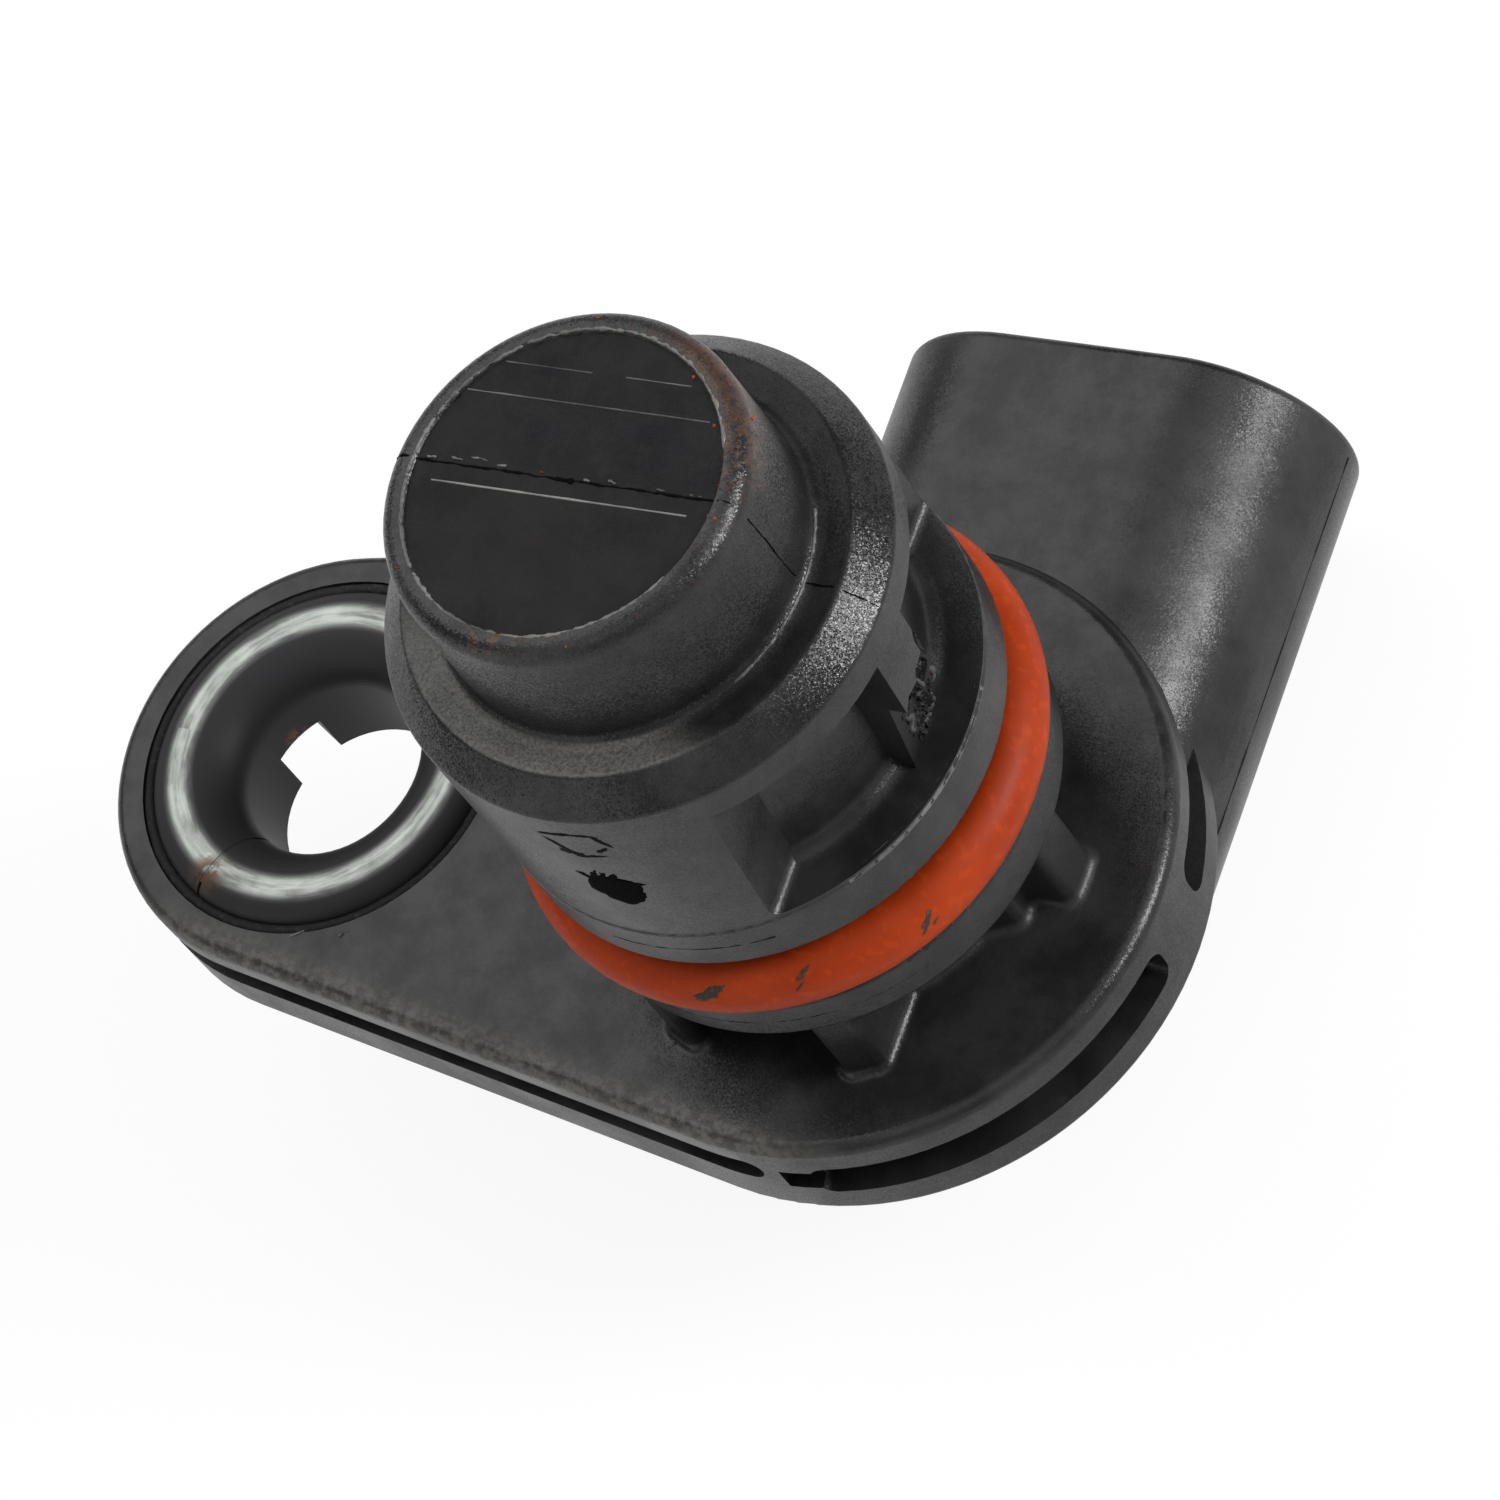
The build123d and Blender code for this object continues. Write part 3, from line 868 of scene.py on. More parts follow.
@dataclass(frozen=True)
class PlatedMetal:
    """Metal with fine rings about an upright axis, duller where it is stained; lengths in mm.

    Where a crest is given, that ring is bright bare metal as a painted highlight, and the rest is dull, dark
    and hardly metallic as painted shade.
    """

    name: str
    bright: Colour
    stained: Colour
    centre: Place = (0.0, 0.0, 0.0)
    roughness: tuple[float, float] = (0.20, 0.42)
    tone_range: tuple[float, float] = (0.1, 1.0)
    ring_part: float = 0.5
    blotch_part: float = 0.6
    ring_scale: float = 8000.0
    ring_edge: tuple[float, float] = (0.35, 0.65)
    depth: float = 0.004
    specular: float = 0.5
    # The crest ring is a painted highlight; dull and the dull_ fields give the rest painted shade.
    crest: RingBand | None = None
    dull: Colour = (0.05, 0.05, 0.05)
    dull_roughness: float = 0.50
    dull_metal: float = 0.12
    dull_specular: float = 0.22
    stains: tuple[Stain, ...] = ()

    def material(self) -> bpy.types.Material:
        """Builds the finish.

        Returns:
            The material.
        """
        material, w, shader = start_material(self.name, Metallic=1.0, Specular_IOR_Level=self.specular)
        marks = w.group(EFFECTS.turning, Centre=in_metres(self.centre), Scale=self.ring_scale)
        rings, blotches = marks.outputs["Rings"], marks.outputs["Blotches"]
        colour = w.blend(blotches, self.bright, self.stained)
        tone = w.maths("ADD", w.product(rings, self.ring_part), w.product(blotches, self.blotch_part))
        roughness = w.ramp(tone, *self.tone_range, *self.roughness)
        if self.crest is not None:
            # Painted highlight on the crest ring, painted shade everywhere else.
            bare = self.crest.mask(w, self.centre)
            crest_highlight_colour = w.blend(w.ramp(rings, *self.ring_edge), colour, self.crest.colour)
            colour = w.blend(bare, self.dull, crest_highlight_colour)
            roughness = w.ramp(bare, 0.0, 1.0, self.dull_roughness, roughness)
            w.feed(shader.inputs["Metallic"], w.ramp(bare, 0.0, 1.0, self.dull_metal, 1.0))
            crest = self.crest.specular_mask(w, self.centre)
            polish = w.ramp(crest, 0.0, 1.0, self.dull_specular, self.specular)
            w.feed(shader.inputs["Specular IOR Level"], polish)
        for stain in self.stains:
            colour = stain.over(w, colour)
        w.feed(shader.inputs["Base Color"], colour)
        w.feed(shader.inputs["Roughness"], roughness)
        add_bump(w, shader, rings, self.depth * MM)
        return material


@dataclass(frozen=True)
class Film:
    """Ink, rust, dirt or a plain compound; lengths in mm, scales in features per metre."""

    name: str
    dark: Colour
    light: Colour
    roughness: tuple[float, float] = (0.4, 0.6)
    specular: float = 0.4
    grain: float = 0.12
    depth: float = 0.01
    fleck_scale: float = 5200.0
    fleck_share: float = 0.8
    height_range: tuple[float, float] = (0.4, 1.1)

    def material(self) -> bpy.types.Material:
        """Builds the finish.

        Returns:
            The material.
        """
        material, w, shader = start_material(self.name, Specular_IOR_Level=self.specular)
        skin = w.group(
            EFFECTS.grain,
            Grain_Scale=1 / (self.grain * MM),
            Fleck_Scale=self.fleck_scale,
            Fleck_Share=self.fleck_share,
        )
        height = skin.outputs["Height"]
        w.feed(shader.inputs["Base Color"], w.blend(skin.outputs["Flecks"], self.dark, self.light))
        w.feed(shader.inputs["Roughness"], w.ramp(height, *self.height_range, *self.roughness))
        add_bump(w, shader, height, self.depth * MM)
        return material


def make_object(
    name: str,
    mesh: bpy.types.Mesh,
    materials: Iterable[bpy.types.Material] = (),
) -> bpy.types.Object:
    """Puts a mesh into the scene.

    Args:
        name: The object's name.
        mesh: Its mesh.
        materials: Its materials in slot order.

    Returns:
        The object.
    """
    for material in materials:
        mesh.materials.append(material)
    thing = bpy.data.objects.new(name, mesh)
    bpy.context.scene.collection.objects.link(thing)
    return thing


def mesh_of(work: bmesh.types.BMesh, name: str) -> bpy.types.Mesh:
    """Turns a mesh under construction into a plain one, and frees it.

    Args:
        work: The mesh under construction.
        name: The plain mesh's name.

    Returns:
        The plain mesh.
    """
    mesh = bpy.data.meshes.new(name)
    work.to_mesh(mesh)
    work.free()
    return mesh


def applied(thing: bpy.types.Object, name: str) -> bpy.types.Object:
    """Turns an object with live modifiers into a plain one, and removes the first.

    Args:
        thing: The object with its modifiers.
        name: The plain object's name.

    Returns:
        The plain object.
    """
    depsgraph = bpy.context.evaluated_depsgraph_get()
    mesh = bpy.data.meshes.new_from_object(thing.evaluated_get(depsgraph), depsgraph=depsgraph)
    bpy.data.objects.remove(thing)
    mesh.name = name
    return make_object(name, mesh)


def settle(piece: bpy.types.Object, slot: str, *nodes: str) -> None:
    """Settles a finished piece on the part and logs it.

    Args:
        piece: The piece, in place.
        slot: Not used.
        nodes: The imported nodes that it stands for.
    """
    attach(piece, BODY)
    if nodes:
        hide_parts(*nodes)
    LOG.info("%s: %d faces", piece.name, len(piece.data.polygons))


def merged_copy(node: str, name: str) -> bpy.types.Object:
    """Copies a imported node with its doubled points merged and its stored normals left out.

    Args:
        node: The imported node's name.
        name: The copy's name.

    Returns:
        The copy as an object.
    """
    same_point = 0.0005 * MM
    no_length = 0.0002 * MM
    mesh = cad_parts[node].data.copy()
    mesh.materials.clear()
    stored = mesh.attributes.get("custom_normal")
    if stored is not None:
        mesh.attributes.remove(stored)
    work = bmesh.new()
    work.from_mesh(mesh)
    bmesh.ops.remove_doubles(work, verts=work.verts, dist=same_point)
    bmesh.ops.dissolve_degenerate(work, edges=work.edges, dist=no_length)
    work.to_mesh(mesh)
    work.free()
    return make_object(name, mesh)


def smooth_shade(thing: bpy.types.Object, sharp_from: float = 28.0) -> None:
    """Shades a piece smoothly between its sharp edges, with wide faces kept flat.

    Args:
        thing: The piece.
        sharp_from: The angle in degrees from which an edge is sharp.
    """
    mesh = thing.data
    mesh.shade_smooth()
    mesh.set_sharp_from_angle(angle=math.radians(sharp_from))
    weigh = thing.modifiers.new("even corners", "WEIGHTED_NORMAL")
    weigh.mode = "FACE_AREA"
    weigh.keep_sharp = True


class GrownForms:
    """Pieces that follow a path or sit at a set of places, made by geometry nodes."""

    PROFILE_POINTS = 8
    UNEVENNESS = 3.0
    LEAST_SWELL = 0.15
    GRAIN_LEVELS = 2
    LUMPS_PER_RADIUS = 1.1
    LUMP_LEVEL = 0.6
    LUMP_SWELL = 2.6

    def __init__(self) -> None:
        """Builds both trees."""
        self.bead_tree = self.ragged_bead()
        self.crumb_tree = self.crumbs()

    def ragged_bead(self) -> bpy.types.NodeTree:
        """A tree that lays an uneven bead along a path.

        Returns:
            The tree.
        """
        numbers = ("Radius", "Step", "Ripple", "Ripple Scale", "Raggedness", "Seed")
        inputs = {"Path": GEOMETRY, **{title: NUMBER for title in numbers}, "Finish": FINISH}
        w, take, give = new_group("ragged bead", inputs, {"Bead": GEOMETRY}, "GeometryNodeTree")
        curve = w.add("GeometryNodeMeshToCurve")
        w.feed(curve.inputs["Mesh"], take["Path"])
        even = w.add("GeometryNodeResampleCurve", mode="LENGTH")
        w.feed(even.inputs["Curve"], curve.outputs["Curve"])
        w.feed(even.inputs["Length"], take["Step"])
        wander = w.add("ShaderNodeTexNoise", noise_dimensions="4D")
        w.feed(wander.inputs["Vector"], w.add("GeometryNodeInputPosition").outputs[0])
        w.feed(wander.inputs["Scale"], take["Ripple Scale"])
        w.feed(wander.inputs["W"], take["Seed"])
        moved = w.add("GeometryNodeSetPosition")
        w.feed(moved.inputs["Geometry"], even.outputs["Curve"])
        centred = w.vectors("SUBTRACT", wander.outputs["Color"], MIDDLE)
        w.feed(moved.inputs["Offset"], w.scaled(centred, take["Ripple"]))
        uneven = w.product(w.maths("SUBTRACT", wander.outputs[0], MIDDLE[0]), self.UNEVENNESS)
        size = w.maths("ADD", 1.0, w.product(uneven, take["Raggedness"]))
        swollen = w.add("GeometryNodeSetCurveRadius")
        w.feed(swollen.inputs["Curve"], moved.outputs["Geometry"])
        w.feed(swollen.inputs["Radius"], w.maths("MAXIMUM", size, self.LEAST_SWELL))
        profile = w.add("GeometryNodeCurvePrimitiveCircle")
        profile.inputs["Resolution"].default_value = self.PROFILE_POINTS
        w.feed(profile.inputs["Radius"], take["Radius"])
        skin = w.add("GeometryNodeCurveToMesh")
        w.feed(skin.inputs["Curve"], swollen.outputs["Curve"])
        w.feed(skin.inputs["Profile Curve"], profile.outputs["Curve"])
        skin.inputs["Fill Caps"].default_value = True
        if "Scale" in skin.inputs:
            w.feed(skin.inputs["Scale"], w.add("GeometryNodeInputRadius").outputs[0])
        smooth = w.add("GeometryNodeSetShadeSmooth")
        w.feed(smooth.inputs["Geometry"], skin.outputs["Mesh"])
        self.coat(w, smooth.outputs["Geometry"], take["Finish"], give["Bead"])
        return w.tree

    def crumbs(self) -> bpy.types.NodeTree:
        """A tree that puts a small uneven grain at each point.

        Returns:
            The tree.
        """
        inputs = {"Places": GEOMETRY, "Radius": NUMBER, "Spread": NUMBER, "Seed": WHOLE, "Finish": FINISH}
        w, take, give = new_group("crumbs", inputs, {"Crumbs": GEOMETRY}, "GeometryNodeTree")
        radius = take["Radius"]
        grain = w.add("GeometryNodeMeshIcoSphere")
        grain.inputs["Subdivisions"].default_value = self.GRAIN_LEVELS
        w.feed(grain.inputs["Radius"], radius)
        lump = w.add("ShaderNodeTexNoise")
        w.feed(lump.inputs["Vector"], w.add("GeometryNodeInputPosition").outputs[0])
        w.feed(lump.inputs["Scale"], w.maths("DIVIDE", self.LUMPS_PER_RADIUS, radius))
        bulge = w.product(w.maths("SUBTRACT", lump.outputs[0], self.LUMP_LEVEL), radius, self.LUMP_SWELL)
        rough = w.add("GeometryNodeSetPosition")
        w.feed(rough.inputs["Geometry"], grain.outputs["Mesh"])
        w.feed(rough.inputs["Offset"], w.scaled(w.add("GeometryNodeInputNormal").outputs[0], bulge))
        least = w.maths("SUBTRACT", 1.0, take["Spread"])
        most = w.maths("ADD", 1.0, take["Spread"])
        points = w.add("GeometryNodeMeshToPoints")
        w.feed(points.inputs["Mesh"], take["Places"])
        placed = w.add("GeometryNodeInstanceOnPoints")
        w.feed(placed.inputs["Points"], points.outputs["Points"])
        w.feed(placed.inputs["Instance"], rough.outputs["Geometry"])
        w.feed(placed.inputs["Rotation"], self.drawn(w, take["Seed"], (0.0,) * 3, (math.tau,) * 3))
        w.feed(placed.inputs["Scale"], self.drawn(w, take["Seed"], least, most))
        self.coat(w, placed.outputs["Instances"], take["Finish"], give["Crumbs"])
        return w.tree

    @staticmethod
    def drawn(w: Wiring, seed: Socket, least: object, most: object) -> Socket:
        """Draws a vector at random for each point.

        Args:
            w: The tree's wiring.
            seed: The seed.
            least: The lowest value of each coordinate.
            most: The highest value of each coordinate.

        Returns:
            The vector's socket.
        """
        draw = w.add("FunctionNodeRandomValue", data_type="FLOAT_VECTOR")
        limits = [s for s in draw.inputs if s.type == "VECTOR"]
        for socket, value in zip(limits, (least, most)):
            w.feed(socket, value)
        w.feed(draw.inputs["Seed"], seed)
        return next(s for s in draw.outputs if s.type == "VECTOR")

    @staticmethod
    def coat(w: Wiring, form: Socket, finish: Socket, end: Socket) -> None:
        """Makes a form real, gives it its material and leads it out of the tree.

        Args:
            w: The tree's wiring.
            form: The form's socket.
            finish: The material's socket.
            end: The tree's output socket.
        """
        real = w.add("GeometryNodeRealizeInstances")
        coat = w.add("GeometryNodeSetMaterial")
        w.feed(real.inputs["Geometry"], form)
        w.feed(coat.inputs["Geometry"], real.outputs["Geometry"])
        w.feed(coat.inputs["Material"], finish)
        w.feed(end, coat.outputs["Geometry"])

    @staticmethod
    def grow(name: str, tree: bpy.types.NodeTree, runs: Iterable[Run], **inputs: object) -> bpy.types.Object:
        """Runs a tree on open paths or loose points, and keeps the plain mesh.

        Args:
            name: The piece's name.
            tree: The tree.
            runs: Paths, each a row of places in mm; a path of one place is a loose point.
            inputs: The tree's inputs by name, with an underscore for each space.

        Returns:
            The piece.
        """
        points: list[Vector] = []
        edges: list[tuple[int, int]] = []
        for run in runs:
            first = len(points)
            points += [Vector(p) * MM for p in run]
            edges += [(i, i + 1) for i in range(first, len(points) - 1)]
        mesh = bpy.data.meshes.new(name + "_path")
        mesh.from_pydata(points, edges, [])
        path = make_object(name + "_path", mesh)
        modifier = path.modifiers.new("grown form", "NODES")
        modifier.node_group = tree
        sockets = {s.name: s.identifier for s in tree.interface.items_tree if s.in_out == "INPUT"}
        for title, value in inputs.items():
            modifier[sockets[title.replace("_", " ")]] = value
        return applied(path, name)


GROWN = GrownForms()


@dataclass(frozen=True)
class Bead:
    """An uneven raised line, or a dark one that reads as a crack; lengths in mm."""

    name: str
    runs: tuple[Run, ...]
    radius: float
    ripple: float = 0.03
    ripple_size: float = 0.5
    ragged: float = 0.5
    step: float = 0.06
    seed: float = 1.0

    def build(self, finish: bpy.types.Material, slot: str = PLASTIC) -> None:
        """Lays the bead.

        Args:
            finish: Its material.
            slot: The slot name that goes on to settle.
        """
        piece = GROWN.grow(
            self.name,
            GROWN.bead_tree,
            self.runs,
            Radius=self.radius * MM,
            Step=self.step * MM,
            Ripple=2 * self.ripple * MM,
            Ripple_Scale=1 / (self.ripple_size * MM),
            Raggedness=self.ragged,
            Seed=self.seed,
            Finish=finish,
        )
        settle(piece, slot)


@dataclass(frozen=True)
class Crumbs:
    """Small grains lying on a surface; lengths in mm."""

    name: str
    places: Run
    radius: float
    spread: float = 0.5
    seed: int = 1

    def build(self, finish: bpy.types.Material, slot: str = PLASTIC) -> None:
        """Scatters the grains.

        Args:
            finish: Their material.
            slot: The slot name that goes on to settle.
        """
        piece = GROWN.grow(
            self.name,
            GROWN.crumb_tree,
            [(place,) for place in self.places],
            Radius=self.radius * MM,
            Spread=self.spread,
            Seed=self.seed,
            Finish=finish,
        )
        settle(piece, slot)


def round_path(radius: float, start: float, end: float, height: float, count: int = 24) -> Run:
    """Points along a level arc about the probe's axis.

    Args:
        radius: The arc's radius in mm.
        start: Its first azimuth in degrees.
        end: Its last azimuth in degrees.
        height: Its height in mm.
        count: The number of points.

    Returns:
        The points in mm.
    """
    turns = (math.radians(start + (end - start) * i / (count - 1)) for i in range(count))
    return tuple((radius * math.cos(t), radius * math.sin(t), height) for t in turns)


@dataclass(frozen=True)
class Dab:
    """A thin closed film of ink or dirt with a ragged outline; lengths in mm, angles in degrees."""

    turn: float
    level: float
    half_width: float
    half_height: float
    slope: float
    ragged: float
    seed: float

    def outline(self, angle: float) -> tuple[float, float]:
        """The edge of the film in one direction, before the film is turned to its slope.

        Args:
            angle: The direction from the film's middle, in radians.

        Returns:
            How far the edge lies across and up from the middle, in mm.
        """
        broad, fine = 2.3, 7.1
        way = Vector((math.cos(angle), math.sin(angle), self.seed))
        reach = 1 + self.ragged * (2 * noise.noise(way * broad) + noise.noise(way * fine))
        return reach * self.half_width * way.x, reach * self.half_height * way.y


@dataclass(frozen=True)
class Films:
    """Several dabs on one surface, made as one piece; lengths in mm.

    Radius is the surface's greatest radius, and ring_z the middle height of the seal's cord.
    """

    name: str
    seat: Seat
    dabs: tuple[Dab, ...]
    thickness: float
    radius: float
    ring_z: float = 0.0
    rings: int = 6
    spokes: int = 40

    def on_seat(self, dab: Dab, across: float, up: float, lift: float) -> Vector:
        """Puts a point of a flat film on its surface.

        Args:
            dab: The film.
            across: The distance along the surface round the axis, in mm.
            up: The distance along the surface towards the tip, in mm.
            lift: The height over the surface, in mm.

        Returns:
            The point in mm.
        """
        azimuth = math.radians(dab.turn) + across / self.radius
        out = Vector((math.cos(azimuth), math.sin(azimuth), 0.0))
        if self.seat is Seat.BARREL:
            return out * (self.radius + lift) + Vector(UP) * (dab.level + up)
        cord = SEAL_CORD / 2
        rise = math.asin((dab.level - self.ring_z) / cord) + up / cord
        around = out * (self.radius - cord) + Vector(UP) * self.ring_z
        return around + (out * math.cos(rise) + Vector(UP) * math.sin(rise)) * (cord + lift)

    def shell(self, work: bmesh.types.BMesh, dab: Dab) -> None:
        """Adds one dab to a mesh as a closed shell.

        Args:
            work: The mesh under construction.
            dab: The dab.
        """
        slope = math.radians(dab.slope)
        layers: list[list[list[bmesh.types.BMVert]]] = []
        for lift in (self.thickness, -self.thickness):
            rows = []
            for ring in range(self.rings + 1):
                share = ring / self.rings
                height = lift * (1 - share**4) if lift > 0 else lift
                row = []
                for spoke in range(self.spokes if ring else 1):
                    u, v = (share * edge for edge in dab.outline(math.tau * spoke / self.spokes))
                    across = u * math.cos(slope) - v * math.sin(slope)
                    up = u * math.sin(slope) + v * math.cos(slope)
                    row.append(work.verts.new(self.on_seat(dab, across, up, height) * MM))
                rows.append(row)
            layers.append(rows)
        for rows, outward in zip(layers, (True, False)):
            for inner, outer in zip(rows, rows[1:]):
                for i in range(self.spokes):
                    j = (i + 1) % self.spokes
                    corners = [outer[i], outer[j], inner[j % len(inner)], inner[i % len(inner)]]
                    corners = list(dict.fromkeys(corners))
                    work.faces.new(corners if outward else corners[::-1])
        top, low = layers[0][-1], layers[1][-1]
        for i in range(self.spokes):
            j = (i + 1) % self.spokes
            work.faces.new([low[i], low[j], top[j], top[i]])

    def build(self, finish: bpy.types.Material, slot: str = PLASTIC) -> None:
        """Lays every dab.

        Args:
            finish: Their material.
            slot: The slot name that goes on to settle.
        """
        work = bmesh.new()
        for dab in self.dabs:
            self.shell(work, dab)
        bmesh.ops.recalc_face_normals(work, faces=work.faces)
        mesh = mesh_of(work, self.name)
        mesh.shade_smooth()
        settle(make_object(self.name, mesh, [finish]), slot)


@dataclass(frozen=True)
class Bite:
    """A rough rounded block that is broken out of a moulding; lengths in mm, angles in degrees."""

    centre: Place
    half: Place
    turn: Place
    rough: float
    seed: float

    def cutter(self, name: str, finish: bpy.types.Material) -> bpy.types.Object:
        """Builds the block with an uneven skin.

        Args:
            name: The object's name.
            finish: The material that the broken surface gets.

        Returns:
            The block.
        """
        squareness = 4
        lump_scale, lump_fade, lump_gap, lump_layers = 1.6, 0.7, 2.1, 4
        shard_scale, shard_part = 6.0, 0.3
        work = bmesh.new()
        bmesh.ops.create_icosphere(work, subdivisions=5, radius=1.0)
        turned = Euler([math.radians(a) for a in self.turn]).to_matrix()
        half, centre = Vector(self.half), Vector(self.centre)
        lump_start, shard_start = Vector((self.seed,) * 3), Vector((0.0, self.seed, 0.0))
        for vert in work.verts:
            way = vert.co.copy()
            swell = sum(abs(c) ** squareness for c in way) ** (-1 / squareness)
            form = Vector([c * h for c, h in zip(way * swell, half)])
            lump = noise.fractal(form * lump_scale + lump_start, lump_fade, lump_gap, lump_layers)
            shard = noise.noise(form * shard_scale + shard_start)
            form += way * (self.rough * lump + shard_part * self.rough * shard)
            vert.co = (turned @ form + centre) * MM
        return make_object(name, mesh_of(work, name), [finish])


class Relief:
    """Finds points on a finished skin, in mm."""

    FAR = 40.0

    def __init__(self, thing: bpy.types.Object) -> None:
        """Keeps a search tree of the piece's faces."""
        faces = [tuple(face.vertices) for face in thing.data.polygons]
        self.tree = BVHTree.FromPolygons([vert.co for vert in thing.data.vertices], faces)

    def met(self, start: Place, way: Place) -> Place:
        """Finds the first point that a straight line meets.

        Args:
            start: Where the line starts.
            way: Its direction.

        Returns:
            The point, or the start if the line meets nothing.
        """
        hit = self.tree.ray_cast(Vector(start) * MM, Vector(way))[0]
        return start if hit is None else tuple(c / MM for c in hit)

    def under(self, start: Place, way: Place, depth: float) -> Place:
        """Finds the point at a depth under the place where a straight line meets the skin.

        Args:
            start: Where the line starts.
            way: Its direction.
            depth: How far the point lies under the skin.

        Returns:
            The point.
        """
        place, normal = self.tree.ray_cast(Vector(start) * MM, Vector(way))[:2]
        return tuple((place - normal * depth * MM) / MM)

    def from_above(self, x: float, y: float) -> Place:
        """The highest point over a place of the mounting plane."""
        return self.met((x, y, self.FAR), DOWN)

    def from_side(self, y: float, z: float) -> Place:
        """The outermost point on the +X side."""
        return self.met((self.FAR, y, z), (-1.0, 0.0, 0.0))


@dataclass
class Seal:
    """The orange cord seal and the dark smudges on it; lengths in mm.

    Each smudge has its turn, level, half width, half height, slope, raggedness and seed.
    """

    smudges: tuple[Dab, ...] = (
        Dab(-83.0, 7.60, 0.60, 0.19, 27.0, 0.30, 3.0),
        Dab(-62.0, 7.80, 0.36, 0.10, 34.0, 0.35, 7.0),
        Dab(-63.6, 7.48, 0.26, 0.04, 38.0, 0.35, 8.0),
        Dab(-34.9, 7.36, 0.46, 0.12, 45.0, 0.40, 9.0),
        Dab(-33.4, 7.18, 0.14, 0.05, 20.0, 0.50, 12.0),
    )
    smudge_thickness: float = 0.010

    def build(self) -> None:
        """Dresses the ring and lays the smudges on it."""
        rubber = SealRubber("silicone_orange", (0.250, 0.0245, 0.0030), (0.345, 0.040, 0.0056))
        ring = merged_copy("o_ring", "seal_ring")
        ring.data.materials.append(rubber.material())
        smooth_shade(ring)
        settle(ring,RUBBER, "o_ring")
        low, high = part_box("o_ring")
        middle = (low.z + high.z) / 2 / MM
        grime = Film("seal_grime", (0.036, 0.026, 0.020), (0.12, 0.040, 0.022), (0.6, 0.8), specular=0.25)
        smudges = Films("seal_smudges", Seat.SEAL, self.smudges, self.smudge_thickness, high.x / MM, middle)
        smudges.build(grime.material(),RUBBER)


